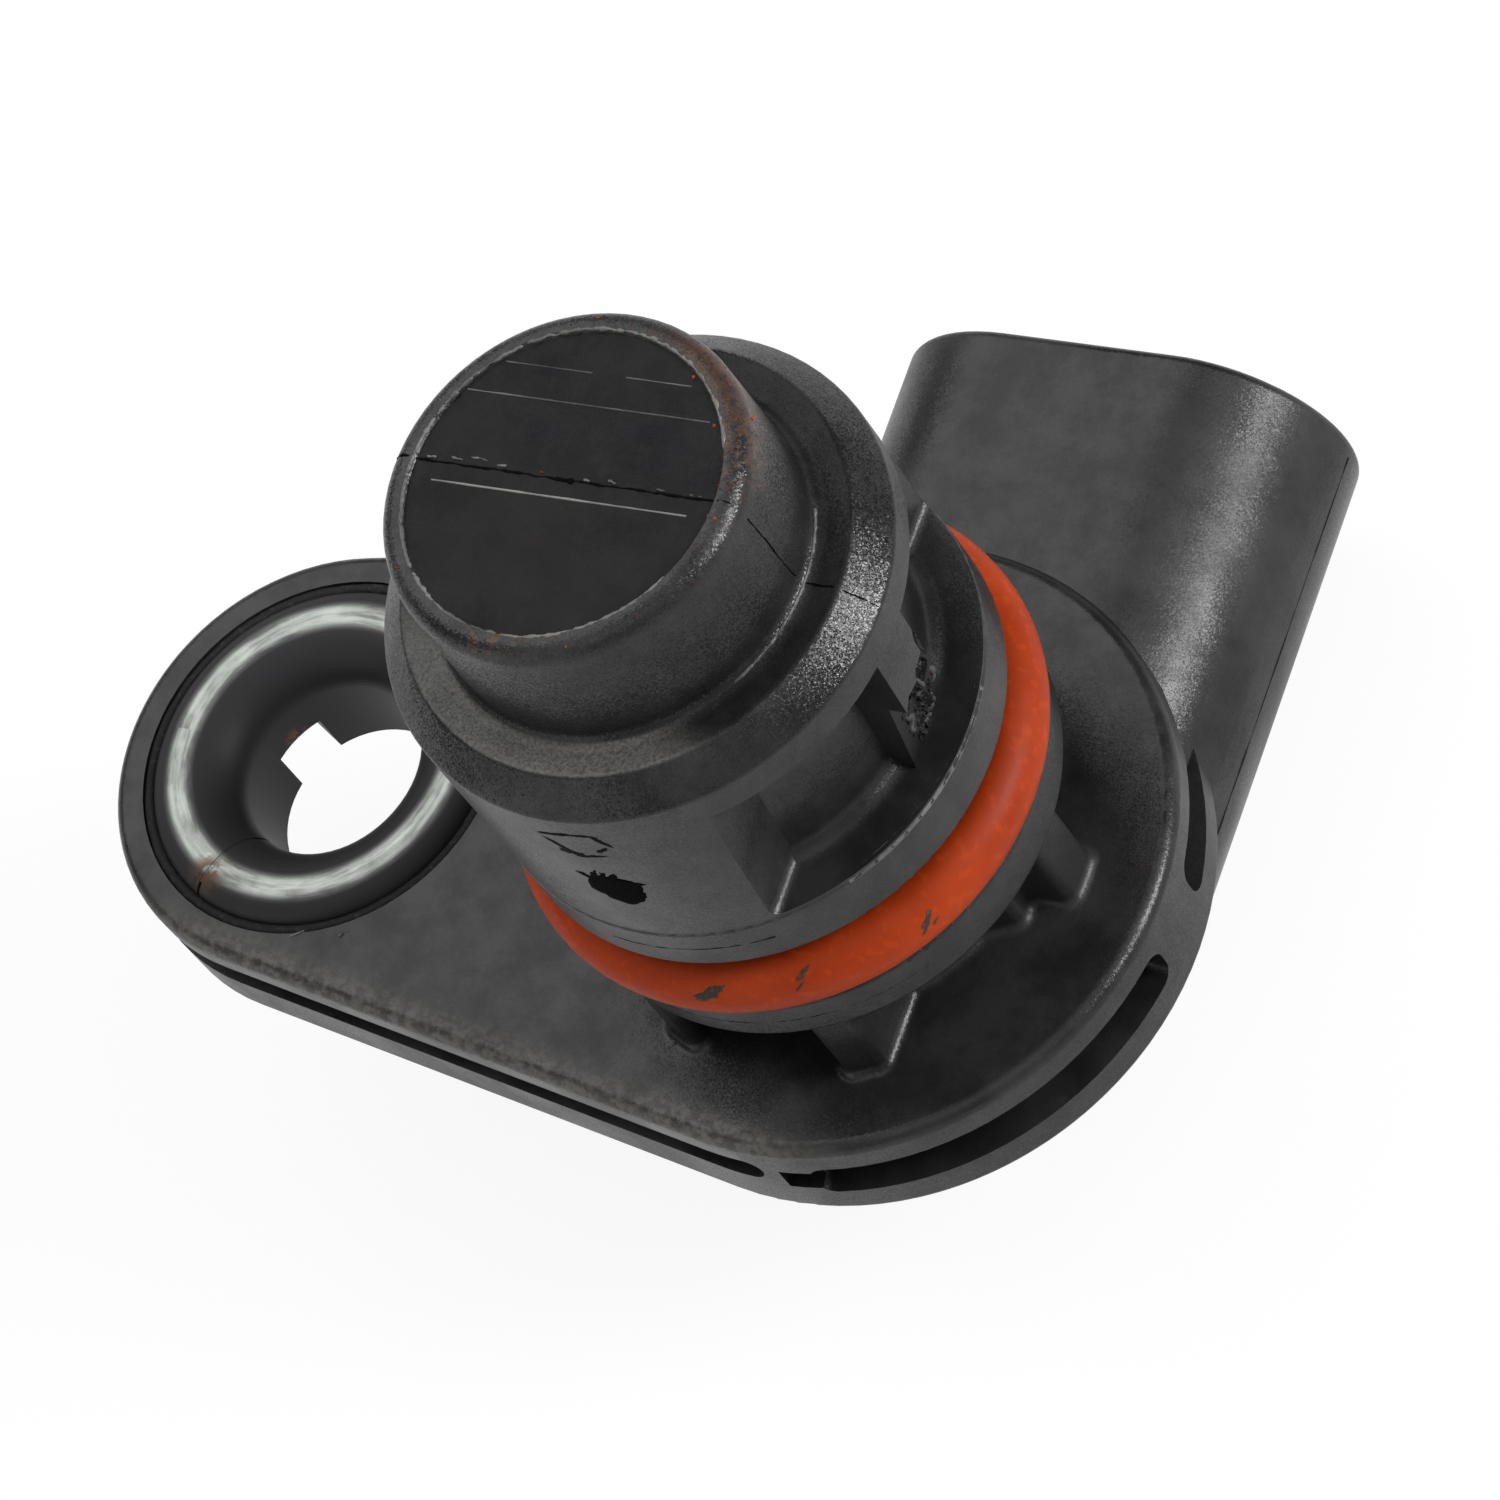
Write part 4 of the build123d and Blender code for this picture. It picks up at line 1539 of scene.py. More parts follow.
@dataclass
class Housing:
    """The overmoulded housing with its torn gate, mould lines, marks and rust.

    Lengths are in mm. Paths on the gate are rows of Y and Z. Each stroke and blot has its turn,
    level, half width, half height, slope, raggedness and seed.
    """

    face_r: float = 5.47
    rim_from: float = 5.69
    tip_edge: float = 0.70
    face_recess: float = 0.12
    wall_r: float = 6.43
    barrel_r: float = 8.95
    ring_r: float = 9.00
    bites: tuple[Bite, ...] = (
        Bite(centre=(8.42, 0.25, 14.3), half=(0.60, 1.00, 1.10), turn=(0, 8, 10), rough=0.20, seed=1.0),
        Bite(centre=(8.02, -0.15, 13.0), half=(0.50, 0.46, 0.95), turn=(14, -10, -12), rough=0.16, seed=4.0),
        Bite(centre=(8.50, 1.00, 15.6), half=(0.48, 0.42, 1.30), turn=(-12, 10, 20), rough=0.16, seed=8.0),
    )
    break_box: tuple[tuple[float, float], ...] = ((7.15, 8.55), (-1.85, 1.32), (11.4, 18.1))
    ridges: tuple[tuple[tuple[float, float], ...], ...] = (
        ((0.82, 16.18), (0.54, 15.32), (-0.14, 15.21), (-0.72, 14.90), (-1.35, 14.98)),
        ((0.96, 13.74), (1.09, 12.63), (0.62, 12.51), (0.37, 11.88), (-0.37, 12.03), (-1.01, 12.48)),
        ((0.30, 13.9), (0.50, 13.1), (0.15, 12.9)),
        ((-1.05, 13.9), (-0.80, 13.3), (-1.10, 12.8)),
        ((0.00, 14.7), (-0.30, 14.2), (-0.10, 13.8)),
    )
    grain_count: int = 110
    grain_middle: tuple[float, float] = (-0.10, 13.6)
    grain_reach: tuple[float, float] = (1.05, 1.9)
    grain_slope: float = 0.5
    flash_places: tuple[tuple[float, float, float], ...] = (
        (0.24, -5.1, 0.3), (0.30, -4.2, 0.4), (0.42, -3.5, 0.6), (0.28, -2.5, 0.3),
        (0.20, 0.7, 0.2), (0.24, 1.6, 0.3), (0.20, 3.4, 0.3), (0.18, 4.6, 0.5),
    )
    wall_crack: tuple[tuple[float, float, float], ...] = (
        (-0.02, 0.05, 24.85), (0.01, 0.08, 23.4), (0.03, 0.06, 21.8), (0.06, 0.10, 20.95),
    )
    crest_crack: tuple[tuple[float, float], ...] = (
        (6.62, 0.12), (7.10, 0.14), (7.62, 0.12), (8.00, 0.09), (8.35, 0.14), (8.65, 0.12), (8.90, 0.13),
    )
    shroud_side: tuple[float, float] = (10.165, -5.63)
    shroud_line_y: tuple[float, ...] = (3.0, 9.0, 15.0, 19.6)
    ticks: tuple[Run, ...] = (
        ((-19.9, -6.95, 0.0), (-19.4, -6.60, 0.0)),
        ((-18.0, -6.60, 0.0), (-17.7, -6.30, 0.0)),
        ((-3.95, -8.40, 0.0), (-3.80, -8.38, 0.0)),
    )
    strokes: tuple[Dab, ...] = (
        Dab(-91.2, 18.30, 0.60, 0.080, 9.0, 0.35, 2.0),
        Dab(-85.2, 18.40, 0.64, 0.072, -1.0, 0.35, 4.0),
        Dab(-81.0, 18.02, 0.42, 0.105, -58.0, 0.30, 6.0),
        Dab(-82.3, 17.38, 0.30, 0.085, 35.0, 0.30, 8.0),
        Dab(-92.2, 17.50, 0.52, 0.120, -48.0, 0.30, 10.0),
        Dab(-90.0, 17.02, 0.46, 0.165, -18.0, 0.30, 14.0),
        Dab(-86.2, 16.90, 0.50, 0.080, 6.0, 0.35, 12.0),
    )
    stroke_thickness: float = 0.010
    blots: tuple[Dab, ...] = (
        Dab(-86.5, 14.42, 1.02, 0.94, -35.0, 0.11, 2.0),
        Dab(-91.4, 15.20, 0.42, 0.13, -42.0, 0.40, 6.0),
        Dab(-89.6, 15.45, 0.36, 0.12, 62.0, 0.40, 7.0),
        Dab(-87.6, 15.38, 0.34, 0.13, 76.0, 0.40, 9.0),
        Dab(-85.2, 15.42, 0.36, 0.10, 58.0, 0.40, 11.0),
        Dab(-82.2, 15.02, 0.52, 0.08, -14.0, 0.30, 8.0),
    )
    blot_thickness: float = 0.012
    speck_places: tuple[tuple[float, float], ...] = (
        (-0.93, 5.9), (3.43, 5.08), (3.19, 4.28), (4.55, 2.71), (5.44, 3.42),
        (5.83, -0.52), (-0.86, 0.24), (-0.17, -5.61), (-4.56, -3.8),
    )
    speck_sunk: float = 0.02
    rust_count: int = 90
    rust_turns: tuple[float, float] = (-95.0, 90.0)
    rust_lean: float = 0.7
    rust_rim: tuple[float, float] = (0.05, 0.90)

    def __post_init__(self) -> None:
        """Reads the tip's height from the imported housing."""
        self.tip_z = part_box("housing")[1].z / MM
        self.face_z = self.tip_z - self.face_recess

    def plastic(self) -> bpy.types.Material:
        """Makes the general finish of the moulding.

        Returns:
            The material.
        """
        brown = (0.050, 0.026, 0.018)
        # The flat ring round the tip's foot: dust and painted light on the side towards -Y, painted shade on
        # the far side.
        dusty_lit_ring = RingBand((0.098, 0.095, 0.089), inner=6.72, outer=7.80, low=20.25, high=20.60)
        return MouldedPlastic(
            "housing_black",
            (0.0085, 0.0086, 0.0094),
            (0.0185, 0.0184, 0.0186),
            flecked_from=19.3,
            dust_band=(-9.0, -2.0),
            arc=DustAndLightArc(
                dusty_lit_ring,
                way=(-0.2588, -0.9659, 0.0),
                start=3.6,
                full=5.6,
                painted_shade_share=0.33,
            ),
            worn_edge=WornEdge((0.094, 0.087, 0.074), way=(-0.1668, -0.9860, 0.0), reach=11.55, width=1.4),
            stains=(
                Stain((3.9, 4.6, self.tip_z), 3.4, brown, cover=0.62),
                Stain((5.5, 2.2, self.tip_z), 2.6, brown, cover=0.55),
                Stain((-0.5, -5.7, self.tip_z), 1.8, brown),
            ),
        ).material()

    @staticmethod
    def face_plastic() -> bpy.types.Material:
        """Makes the duller finish of the sensing face.

        Returns:
            The material.
        """
        return MouldedPlastic(
            "tip_face_black",
            (0.0052, 0.0050, 0.0064),
            (0.0120, 0.0112, 0.0108),
            dusty=(0.024, 0.022, 0.021),
            roughness=(0.46, 0.60),
            specular=0.13,
            fleck_share=1.0,
            lean=(0.34, 0.34),
            dust_cover=0.44,
        ).material()

    @staticmethod
    def broken_plastic_shaded() -> bpy.types.Material:
        """Makes the raw finish of the torn gate, darker than the housing as painted shade in the torn recess.

        Returns:
            The material.
        """
        return MouldedPlastic(
            "broken_plastic_shaded",
            (0.0050, 0.0050, 0.0058),
            (0.0170, 0.0165, 0.0180),
            roughness=(0.5, 0.8),
            specular=0.2,
            grain=0.10,
            depth=0.02,
            fleck_share=1.0,
            stains=(Stain((8.0, 0.8, 12.9), 0.55, (0.050, 0.012, 0.009), cover=0.55),),
        ).material()

    def skin(self) -> None:
        """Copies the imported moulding, breaks the gate out of it and gives it its finishes."""
        level, slack = 0.9, 0.02
        broken = self.broken_plastic_shaded()
        skin = merged_copy("housing", "housing_skin")
        for material in (self.plastic(), self.face_plastic()):
            skin.data.materials.append(material)
        cutters = [bite.cutter(f"bite_{i}", broken) for i, bite in enumerate(self.bites)]
        for cutter in cutters:
            cut = skin.modifiers.new(cutter.name, "BOOLEAN")
            cut.operation, cut.solver, cut.object = "DIFFERENCE", "EXACT", cutter
            cut.material_mode = "TRANSFER"
        skin = applied(skin, "housing_skin")
        for cutter in cutters:
            bpy.data.objects.remove(cutter)
        floor = (self.face_z - slack) * MM
        # Faces inside break_box get the darker broken finish, painted shade in the torn recess.
        torn = skin.data.materials.find(broken.name)
        for poly in skin.data.polygons:
            middle = poly.center
            if middle.z > floor and poly.normal.z > level and middle.xy.length < self.face_r * MM:
                poly.material_index = 1
            elif all(low < c / MM < high for c, (low, high) in zip(middle, self.break_box)):
                poly.material_index = torn
        self.relief = Relief(skin)
        smooth_shade(skin)
        settle(skin,PLASTIC, "housing")

    def gate(self) -> None:
        """Roughens the broken gate with ragged ridges and loose grains."""
        pale = MouldedPlastic(
            "broken_ridge",
            (0.020, 0.0195, 0.021),
            (0.058, 0.056, 0.058),
            roughness=(0.5, 0.8),
            specular=0.30,
            fleck_share=1.0,
        ).material()
        dark = Film("broken_grain", (0.008, 0.008, 0.009), (0.034, 0.032, 0.034), (0.5, 0.8), specular=0.30)
        ridges = tuple(tuple(self.relief.from_side(y, z) for y, z in line) for line in self.ridges)
        ridge = Bead("gate_ridges", ridges, 0.085, 0.16, ripple_size=0.35, ragged=1.2, step=0.05, seed=3.0)
        ridge.build(pale)
        middle_y, middle_z = self.grain_middle
        reach_y, reach_z = self.grain_reach
        grains = []
        for _ in range(self.grain_count):
            turn, reach = math.tau * noise.random(), math.sqrt(noise.random())
            y = middle_y + reach_y * reach * math.cos(turn)
            z = middle_z + reach_z * reach * math.sin(turn) + self.grain_slope * (y - middle_y)
            place = self.relief.from_side(y, z)
            if place[0] < self.break_box[0][1]:
                grains.append(place)
        Crumbs("gate_grains", tuple(grains), radius=0.12, spread=0.75, seed=5).build(dark.material())
        Crumbs("gate_pale_grains", tuple(grains[::3]), radius=0.09, spread=0.75, seed=8).build(pale)

    def rim_height(self, radius: float) -> float:
        """Works out the height of the tip's surface.

        Args:
            radius: The distance from the axis in mm.

        Returns:
            The height in mm.
        """
        if radius < self.face_r:
            return self.face_z
        over = max(0.0, radius - self.rim_from)
        return self.tip_z - self.tip_edge + math.sqrt(max(0.0, self.tip_edge**2 - over**2))

    def tip_line(self, y: float, start: float, end: float) -> Run:
        """Lays a straight path along X on the tip.

        Args:
            y: Its Y in mm.
            start: Its first X in mm.
            end: Its last X in mm.

        Returns:
            The points in mm.
        """
        gap = 0.25
        count = max(2, round((end - start) / gap))
        xs = [start + (end - start) * i / (count - 1) for i in range(count)]
        return tuple((x, y, self.rim_height(math.hypot(x, y))) for x in xs)

    def insert_lines(self, raised: bpy.types.Material, worn: bpy.types.Material) -> None:
        """Adds the thin raised lines that the mould insert left on the sensing face.

        Args:
            raised: The finish of the clearest line.
            worn: The finish of the fainter ones.
        """
        long = self.tip_line(-0.55, -4.64, 4.76)
        upper = self.tip_line(2.80, -4.60, 4.35)
        faint = (self.tip_line(3.96, -3.60, -0.40), self.tip_line(3.96, 0.85, 3.25))
        Bead("insert_line_long", (long,), 0.040, 0.01, ripple_size=0.8, ragged=0.45).build(raised)
        Bead("insert_line_upper", (upper,), 0.028, 0.01, ripple_size=0.8, ragged=0.6).build(worn)
        Bead("insert_line_faint", faint, 0.020, 0.01, ripple_size=0.8, ragged=0.6).build(worn)

    def parting_lines(self, gap: bpy.types.Material, worn: bpy.types.Material) -> None:
        """Adds the parting gap over the tip, its flash and pit, and the crack down to the crest.

        Args:
            gap: The finish of the dark gap.
            worn: The finish of the flash.
        """
        halves = (self.tip_line(0.12, -6.25, -1.2), self.tip_line(0.10, -1.2, 6.2))
        Bead("parting_gap_tip", halves, 0.040, 0.07, ripple_size=0.35, ragged=0.9, seed=2.0).build(gap)
        pit = self.tip_line(0.10, -0.25, 0.35)
        Bead("parting_pit", (pit,), 0.080, 0.05, ripple_size=0.3, ragged=1.0, seed=6.0).build(gap)
        flash = tuple(self.tip_line(y, start, start + length) for y, start, length in self.flash_places)
        shreds = Bead("parting_flash", flash, 0.034, 0.10, ripple_size=0.25, ragged=1.3, step=0.04, seed=5.0)
        shreds.build(worn)
        wall = tuple((self.wall_r + over, y, z) for over, y, z in self.wall_crack)
        Bead("parting_crack_wall", (wall,), 0.017, 0.05, ripple_size=0.5, ragged=0.9, seed=3.0).build(gap)
        crest = tuple(self.relief.from_above(x, y) for x, y in self.crest_crack)
        Bead("parting_crack_crest", (crest,), 0.034, 0.07, ripple_size=0.5, ragged=0.7, seed=5.0).build(gap)

    def highlights_and_ticks(self, worn: bpy.types.Material) -> None:
        """Adds painted highlights along the rim, the upper gland ring's top edge and the tip's foot, and the
        ticks.

        Args:
            worn: Their finish.
        """
        rim_z = self.tip_z - 0.050
        rim = (round_path(5.56, 20, 215, rim_z, 70), round_path(5.58, -160, -30, rim_z, 50))
        # The first three beads are painted highlights: light plastic where the lamps catch the rim, the gland
        # ring's top edge and the tip's foot.
        edges = (
            Bead("rim_painted_highlight", rim, 0.062, 0.06, ripple_size=0.30, ragged=1.0, step=0.05, seed=9.0),
            Bead(
                "ring_edge_painted_highlight",
                (round_path(self.ring_r - 0.221, 10, -42, 11.119, 40),),
                radius=0.220,
                ripple=0.004,
                ripple_size=0.25,
                ragged=0.04,
                step=0.05,
                seed=4.0,
            ),
            Bead(
                "tip_foot_painted_highlight",
                (round_path(6.62, -34, 24, 20.54, 40),),
                radius=0.055,
                ripple=0.04,
                ripple_size=0.30,
                ragged=1.0,
                step=0.05,
                seed=6.0,
            ),
            Bead("flange_ticks", self.ticks, 0.045, 0.06, ripple_size=0.30, ragged=1.2, step=0.05, seed=2.0),
        )
        for edge in edges:
            edge.build(worn)

    def side_lines(self, gap: bpy.types.Material) -> None:
        """Adds the parting line of the shroud and the seams of the two gland rings.

        Args:
            gap: The finish of the seams.
        """
        dark, light = (0.0055, 0.0055, 0.0060), (0.0100, 0.0100, 0.0105)
        soft = Film("parting_line", dark, light, (0.6, 0.8), specular=0.15)
        x, z = self.shroud_side
        side = tuple((x, y, z) for y in self.shroud_line_y)
        Bead(
            "shroud_parting_line",
            (side,),
            radius=0.034,
            ripple=0.02,
            ripple_size=1.5,
            ragged=0.6,
            step=0.15,
            seed=8.0,
        ).build(soft.material())
        seam_r = self.ring_r - 0.004
        upper, lower = round_path(seam_r, -100, -62, 10.22), round_path(seam_r, -128, -40, 4.62)
        Bead("ring_seam_upper", (upper,), 0.012, 0.02, ripple_size=0.6, ragged=0.9, seed=7.0).build(gap)
        Bead("ring_seam_lower", (lower,), 0.010, 0.02, ripple_size=0.7, ragged=0.9, seed=8.0).build(gap)

    def mould_lines(self) -> None:
        """Adds every line that the mould and wear left on the housing, and the painted highlights along its
        edges.
        """
        raised = MouldedPlastic(
            "worn_edge_plastic",
            (0.10, 0.098, 0.094),
            (0.23, 0.225, 0.215),
            roughness=(0.35, 0.5),
        ).material()
        # Light plastic for the flash, the fainter insert lines and the ticks, and for the painted highlights
        # along the rim, the gland ring and the tip's foot.
        worn = MouldedPlastic(
            "rubbed_plastic_and_painted_highlight",
            (0.045, 0.043, 0.040),
            (0.150, 0.146, 0.140),
            roughness=(0.30, 0.5),
            fleck_share=1.2,
        ).material()
        black = (0.003, 0.003, 0.003)
        gap = Film("parting_gap", black, (0.006, 0.006, 0.006), (0.7, 0.9), specular=0.05).material()
        self.insert_lines(raised, worn)
        self.parting_lines(gap, worn)
        self.highlights_and_ticks(worn)
        self.side_lines(gap)

    def marks(self) -> None:
        """Adds the open oval and the filled oval on the barrel."""
        dark, light = (0.0030, 0.0030, 0.0032), (0.012, 0.012, 0.012)
        thin = Film("stamp_ink_thin", dark, light, (0.7, 0.9), specular=0.08)
        ink = Film("stamp_ink", (0.0016, 0.0012, 0.0016), (0.0040, 0.0030, 0.0040), (0.8, 0.9), specular=0.03)
        for name, dabs, thickness, finish in (
            ("stamp_open_oval", self.strokes, self.stroke_thickness, thin),
            ("stamp_filled_oval", self.blots, self.blot_thickness, ink),
        ):
            Films(name, Seat.BARREL, dabs, thickness, self.barrel_r).build(finish.material())

    def rust(self) -> None:
        """Adds the rust specks on the tip."""
        rust = Film("rust", (0.11, 0.018, 0.008), (0.34, 0.060, 0.022), (0.6, 0.85)).material()
        sunk = self.speck_sunk
        specks = tuple((x, y, self.rim_height(math.hypot(x, y)) - sunk) for x, y in self.speck_places)
        Crumbs("rust_specks", specks, radius=0.085, spread=0.35, seed=3).build(rust)
        first, last = self.rust_turns
        inner, outer = self.rust_rim
        dust = []
        for _ in range(self.rust_count):
            draw = [noise.random() for _ in range(3)]
            azimuth = math.radians(first + (last - first) * draw[0] ** self.rust_lean)
            reach = self.face_r + inner + (outer - inner) * draw[1]
            dust.append((reach * math.cos(azimuth), reach * math.sin(azimuth), self.rim_height(reach)))
        Crumbs("rust_dust", tuple(dust), radius=0.028, spread=0.6, seed=9).build(rust)

    def build(self) -> None:
        """Builds the housing's skin and all that lies on it."""
        noise.seed_set(11)
        self.skin()
        self.gate()
        self.mould_lines()
        self.marks()
        self.rust()


@dataclass
class Limiter:
    """The rolled steel sleeve in the bolt ear, with its closed seam; lengths in mm."""

    seam_turn: float = -115.0
    seam_offset: float = 0.16
    seam_sunk: float = 0.20
    seam_proud: float = 0.012
    seam_reach: float = 6.2
    seam_gap: float = 0.2
    seam_count: int = 13
    seam_above: float = 9.0
    bore_levels: tuple[float, ...] = (-1.8, -3.0, -4.3)
    moat_r: float = 6.75
    moat_z: float = -0.24

    def seam_path(self, relief: Relief, axis: Vector) -> Run:
        """Follows the skin just beside the slit, and moves the points over the slit.

        Args:
            relief: The sleeve's skin.
            axis: The point of the bolt's axis on the mounting plane, in mm.

        Returns:
            The points in mm, sunk into the sleeve.
        """
        turn = math.radians(self.seam_turn)
        out = Vector((math.cos(turn), math.sin(turn), 0.0))
        beside = axis + Vector((-out.y, out.x, 0.0)) * self.seam_offset
        above = Vector(UP) * self.seam_above
        places = []
        for i in range(self.seam_count):
            start = beside + out * (self.seam_reach - self.seam_gap * i) + above
            places.append(relief.under(tuple(start), DOWN, self.seam_sunk))
        for level in self.bore_levels:
            start = beside + Vector((0.0, 0.0, level))
            places.append(relief.under(tuple(start), tuple(out), self.seam_sunk))
        return tuple(tuple(Vector(place) - (beside - axis)) for place in places)

    def build(self) -> None:
        """Dresses a merged copy of the sleeve, closes its seam and lays a dark ring of painted shade in the
        gap round it.
        """
        low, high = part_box("mounting_bushing")
        x, y = (c / MM for c in ((low + high) / 2).xy)
        steel = PlatedMetal(
            "rolled_steel",
            (0.20, 0.21, 0.195),
            (0.13, 0.135, 0.125),
            (x, y, 0.0),
            ring_scale=5200.0,
            depth=0.0025,
            # The crest ring is a painted highlight, and the dull colour over the rest of the sleeve is
            # painted shade.
            crest=RingBand((0.29, 0.31, 0.29), inner=5.22, outer=5.56, low=-0.20, high=1.00, blur=0.46),
            dull=(0.024, 0.023, 0.025),
            stains=(
                Stain((x - 2.45, y - 5.26, 0.3), 1.1, (0.08, 0.046, 0.026), cover=0.6),
                # The pinkish patch on the bore wall by the notch is a painted highlight.
                Stain((x - 2.97, y + 1.65, -2.6), 0.7, (0.16, 0.07, 0.05), cover=0.6),
            ),
        ).material()
        sleeve = merged_copy("mounting_bushing", "limiter_sleeve")
        sleeve.data.materials.append(steel)
        smooth_shade(sleeve)
        settle(sleeve,STEEL, "mounting_bushing")
        seam = self.seam_path(Relief(sleeve), Vector((x, y, 0.0)))
        fill_r = self.seam_sunk + self.seam_proud
        fill = Bead("limiter_seam", (seam,), fill_r, ripple=0.0, ragged=0.0, step=0.1, seed=4.0)
        fill.build(steel,STEEL)
        # The dark ring in the gap round the sleeve is painted shade.
        dirt = Film("moat_painted_shade", (0.010, 0.010, 0.0105), (0.028, 0.027, 0.026), (0.6, 0.8), specular=0.25)
        moat = tuple((x + a, y + b, c) for a, b, c in round_path(self.moat_r, 0, 360, self.moat_z, 72))
        ring = Bead("moat_painted_shade_ring", (moat,), 0.22, 0.03, ripple_size=1.2, ragged=0.15, step=0.12, seed=2.0)
        ring.build(dirt.material())


def dress(node: str, finish: bpy.types.Material) -> None:
    """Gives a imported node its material.

    Args:
        node: The node's name.
        finish: The material.
    """
    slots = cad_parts[node].data.materials
    slots.clear()
    slots.append(finish)
    LOG.info("%s: %s", node, finish.name)


@dataclass
class LeadFrame:
    """The terminals and the parts on them."""

    terminals: tuple[str, ...] = ("supply", "ground", "signal")
    capacitors: tuple[str, ...] = ("supply", "signal")

    def build(self) -> None:
        """Gives each metal strip and each chip its finish."""
        tin = PlatedMetal("tinned_strip", (0.70, 0.69, 0.66), (0.52, 0.50, 0.46), roughness=(0.25, 0.45))
        solder = PlatedMetal("solder_coat", (0.62, 0.62, 0.62), (0.48, 0.47, 0.45), roughness=(0.3, 0.55))
        ceramic = Film("capacitor_ceramic", (0.22, 0.13, 0.07), (0.32, 0.20, 0.11))
        strip, lead, chip = (finish.material() for finish in (tin, solder, ceramic))
        for name in self.terminals:
            dress("terminal_" + name, strip)
            dress("ic_lead_" + name, lead)
        for name in self.capacitors:
            dress("capacitor_" + name, chip)


@dataclass
class SensingStack:
    """The chip, its pole plate and magnet, and the carrier that holds them."""

    def build(self) -> None:
        """Gives each sealed piece its finish."""
        finishes = {
            "hall_ic": Film("chip_compound", (0.012, 0.012, 0.013), (0.03, 0.03, 0.031)),
            "pole_plate": PlatedMetal("pole_steel", (0.5, 0.5, 0.49), (0.36, 0.35, 0.33)),
            "bias_magnet": Film("magnet_block", (0.05, 0.05, 0.052), (0.12, 0.12, 0.12)),
            "sensor_carrier": MouldedPlastic("carrier_black", (0.02, 0.02, 0.02), (0.035, 0.035, 0.034)),
        }
        for node, finish in finishes.items():
            dress(node, finish.material())


@dataclass(frozen=True)
class Softbox:
    """A square lamp that looks at the part; lengths in m."""

    name: str
    toward: Place
    share: float
    side: float
    distance: float

    def build(self, middle: Vector) -> None:
        """Hangs the lamp, so that white facing it shows the given share of full white.

        Args:
            middle: The point that it looks at, in metres.
        """
        lamp = bpy.data.lights.new(self.name, "AREA")
        lamp.shape, lamp.size = "SQUARE", self.side
        lamp.energy = self.share * (math.pi * self.distance) ** 2
        hanger = bpy.data.objects.new(self.name, lamp)
        way = Vector(self.toward).normalized()
        turned = way.to_track_quat("Z", "Y").to_matrix().to_4x4()
        hanger.matrix_world = Matrix.Translation(middle + way * self.distance) @ turned
        bpy.context.scene.collection.objects.link(hanger)


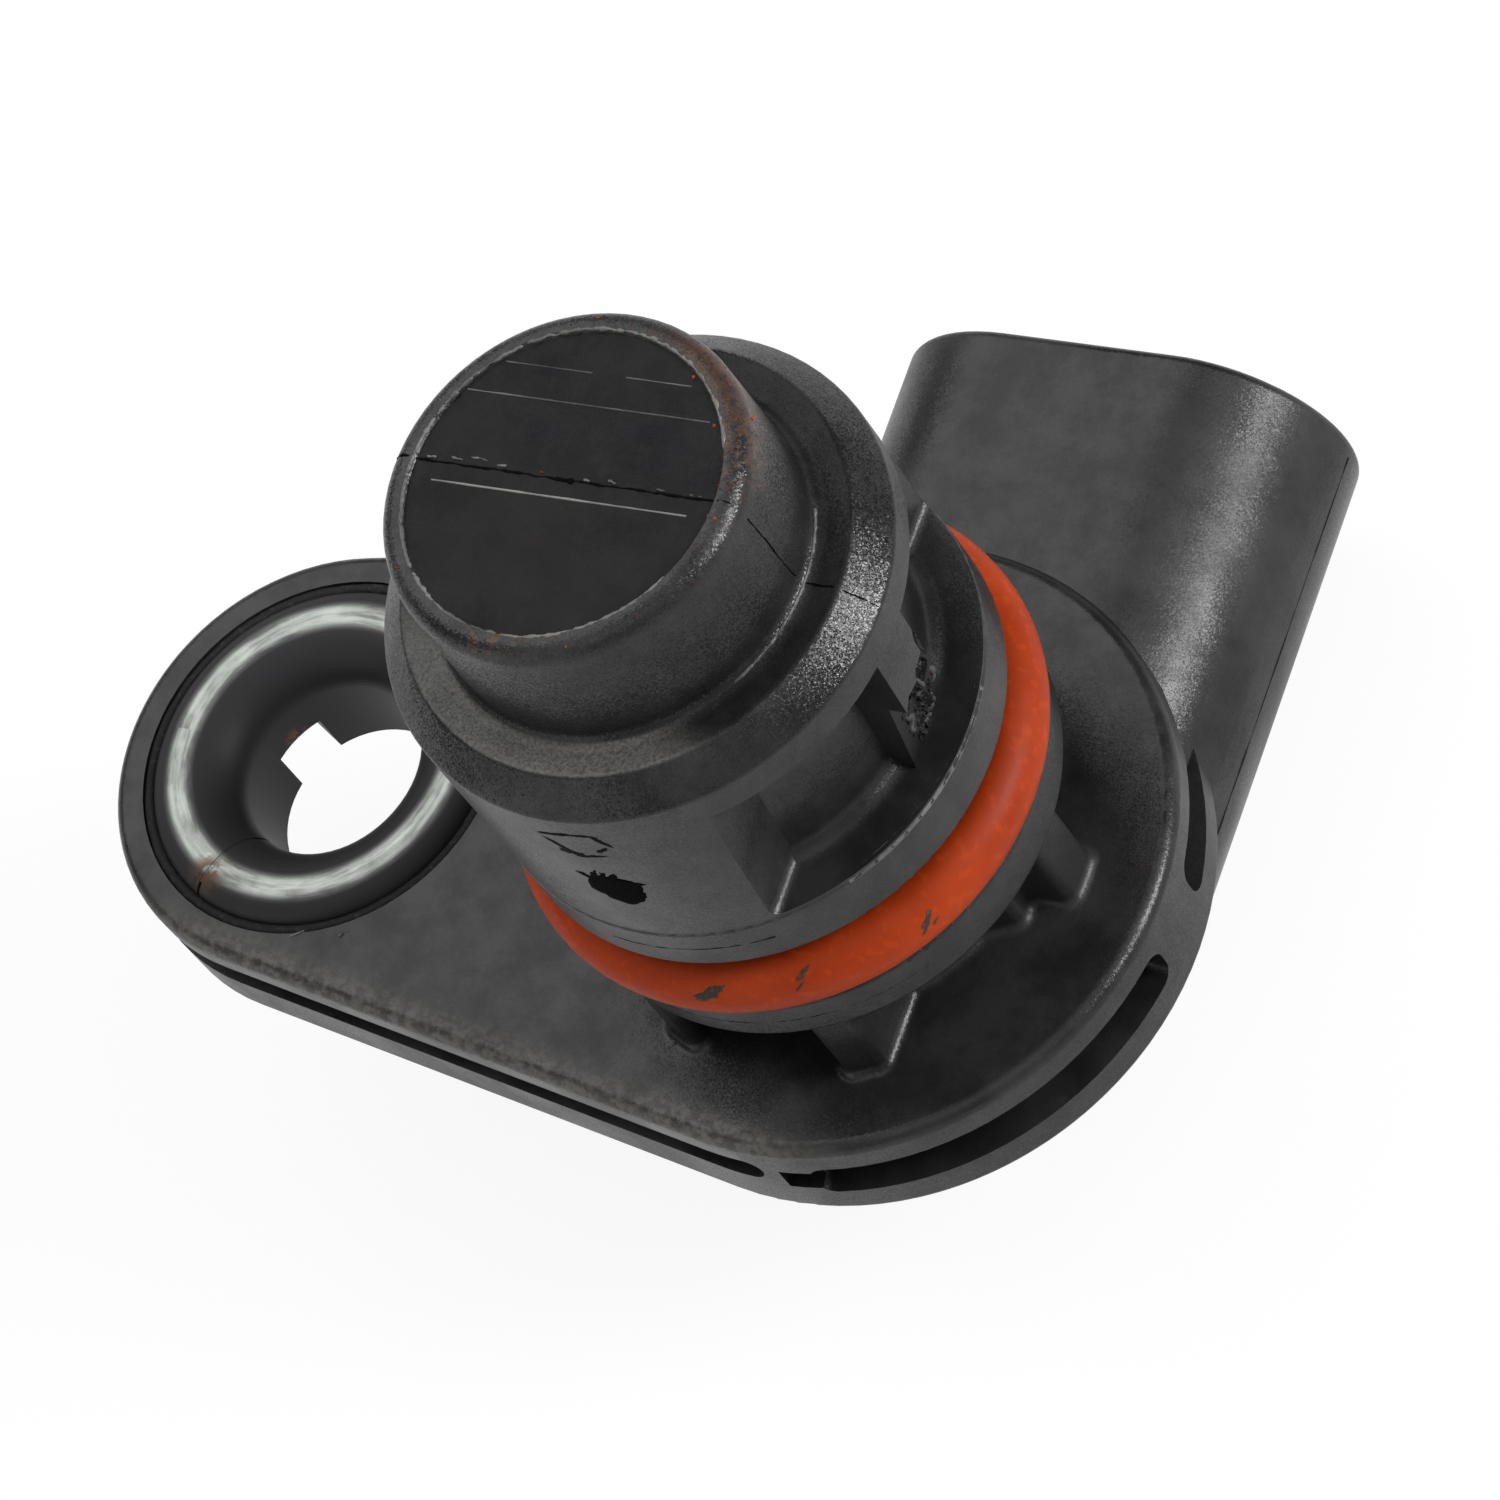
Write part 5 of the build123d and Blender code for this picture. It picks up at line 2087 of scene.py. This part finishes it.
@dataclass
class Studio:
    """The floor, the lamps, the sky and the camera at the photograph's viewpoint.

    Angles are in degrees, and aim, distance, lens, sensor and floor_gap in mm.
    """

    azimuth: float = 53.960
    elevation: float = 54.243
    roll: float = -39.151
    aim: Place = (-3.484, 1.624, 2.724)
    distance: float = 306.76
    lens: float = 216.0
    sensor: float = 36.0
    clip: tuple[float, float] = (0.01, 20.0)
    floor_side: float = 3.0
    floor_gap: float = 0.05
    floor_glow: float = 0.90
    floor_white: float = 0.09
    floor_pale: float = 0.80
    zenith: float = 0.04
    glow_top: float = 0.16
    fill: float = 0.14
    lamps: tuple[Softbox, ...] = (
        Softbox("key", (0.83, 0.28, 0.475), share=1.00, side=0.17, distance=0.5),
        Softbox("overhead", (-0.55, 0.24, 0.80), share=0.64, side=0.60, distance=0.62),
        Softbox("far", (0.42, 0.345, 0.84), share=0.19, side=0.30, distance=0.55),
        Softbox("top", (0.10, -0.40, 0.91), share=0.12, side=0.30, distance=0.55),
        Softbox("low_front", (-0.40, -0.80, 0.36), share=0.19, side=0.40, distance=0.55),
        Softbox("front", (0.50, -0.63, 0.56), share=0.06, side=0.30, distance=0.5),
    )

    def camera(self) -> None:
        """Sets up the camera."""
        turn, rise, roll = (math.radians(a) for a in (self.azimuth, self.elevation, self.roll))
        back = Vector((math.cos(rise) * math.sin(turn), -math.cos(rise) * math.cos(turn), math.sin(rise)))
        level = Vector((math.cos(turn), math.sin(turn), 0.0))
        right = math.cos(roll) * level + math.sin(roll) * back.cross(level)
        lens = bpy.data.cameras.new("camera")
        lens.lens, lens.sensor_width = self.lens, self.sensor
        lens.clip_start, lens.clip_end = self.clip
        seat = bpy.data.objects.new("camera", lens)
        turned = Matrix((right, back.cross(right), back)).transposed().to_4x4()
        place = (Vector(self.aim) + back * self.distance) * MM
        seat.matrix_world = Matrix.Translation(place) @ turned
        bpy.context.scene.collection.objects.link(seat)
        bpy.context.scene.camera = seat

    @staticmethod
    def seen(w: Wiring) -> Socket:
        """Makes a mask that is 1 for camera, glossy and transmission rays.

        Args:
            w: The wiring of a material or a world.

        Returns:
            The mask.
        """
        path = w.add("ShaderNodeLightPath").outputs
        direct = w.maths("MAXIMUM", path["Is Camera Ray"], path["Is Glossy Ray"])
        return w.maths("MAXIMUM", direct, path["Is Transmission Ray"])

    def sky(self) -> None:
        """Sets up a pale sky that is brightest near the horizon."""
        world = bpy.data.worlds.new("studio")
        bpy.context.scene.world = world
        world.use_nodes = True
        w = Wiring(world.node_tree)
        background = world.node_tree.nodes["Background"]
        height = w.split(w.add("ShaderNodeTexCoord").outputs["Generated"])[2]
        shown = w.ramp(height, 0.0, self.glow_top, start=1.0, end=self.zenith)
        extra = w.product(w.maths("SUBTRACT", shown, self.fill), self.seen(w))
        w.feed(background.inputs["Strength"], w.maths("ADD", extra, self.fill))
        w.feed(background.inputs["Color"], (1.0, 1.0, 1.0))

    def floor_finish(self) -> bpy.types.Material:
        """Makes the floor's material, which glows only where it is seen.

        Returns:
            The material.
        """
        material = bpy.data.materials.new("pale_floor")
        material.use_nodes = True
        tree = material.node_tree
        tree.nodes.remove(tree.nodes["Principled BSDF"])
        w = Wiring(tree)
        glow = w.add("ShaderNodeEmission")
        glow.inputs["Strength"].default_value = self.floor_glow
        shaded, plain = w.add("ShaderNodeBsdfDiffuse"), w.add("ShaderNodeBsdfDiffuse")
        w.feed(shaded.inputs["Color"], (self.floor_white,) * 3)
        w.feed(plain.inputs["Color"], (self.floor_pale,) * 3)
        lit = w.add("ShaderNodeAddShader")
        w.feed(lit.inputs[0], glow.outputs[0])
        w.feed(lit.inputs[1], shaded.outputs[0])
        either = w.add("ShaderNodeMixShader")
        for socket, value in zip(either.inputs, (self.seen(w), plain.outputs[0], lit.outputs[0])):
            w.feed(socket, value)
        w.feed(tree.nodes["Material Output"].inputs["Surface"], either.outputs[0])
        return material

    def floor(self) -> None:
        """Lays the pale floor just under the part."""
        work = bmesh.new()
        bmesh.ops.create_grid(work, x_segments=1, y_segments=1, size=self.floor_side / 2)
        height = CAD_BOX[0][2] - self.floor_gap * MM
        bmesh.ops.translate(work, verts=work.verts, vec=(0.0, 0.0, height))
        mesh, material = mesh_of(work, "floor"), self.floor_finish()
        make_object("floor", mesh, [material])

    def build(self) -> None:
        """Sets up the whole studio."""
        bpy.context.scene.view_settings.view_transform = "Standard"
        self.camera()
        self.sky()
        self.floor()
        for lamp in self.lamps:
            lamp.build(Vector(self.aim) * MM)


def main() -> None:
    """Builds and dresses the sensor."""
    logging.basicConfig(level=logging.INFO, format="%(name)s: %(message)s")
    for part in (Studio(), Housing(), Seal(), Limiter(), LeadFrame(), SensingStack()):
        part.build()


if __name__ == "__main__":
    main()
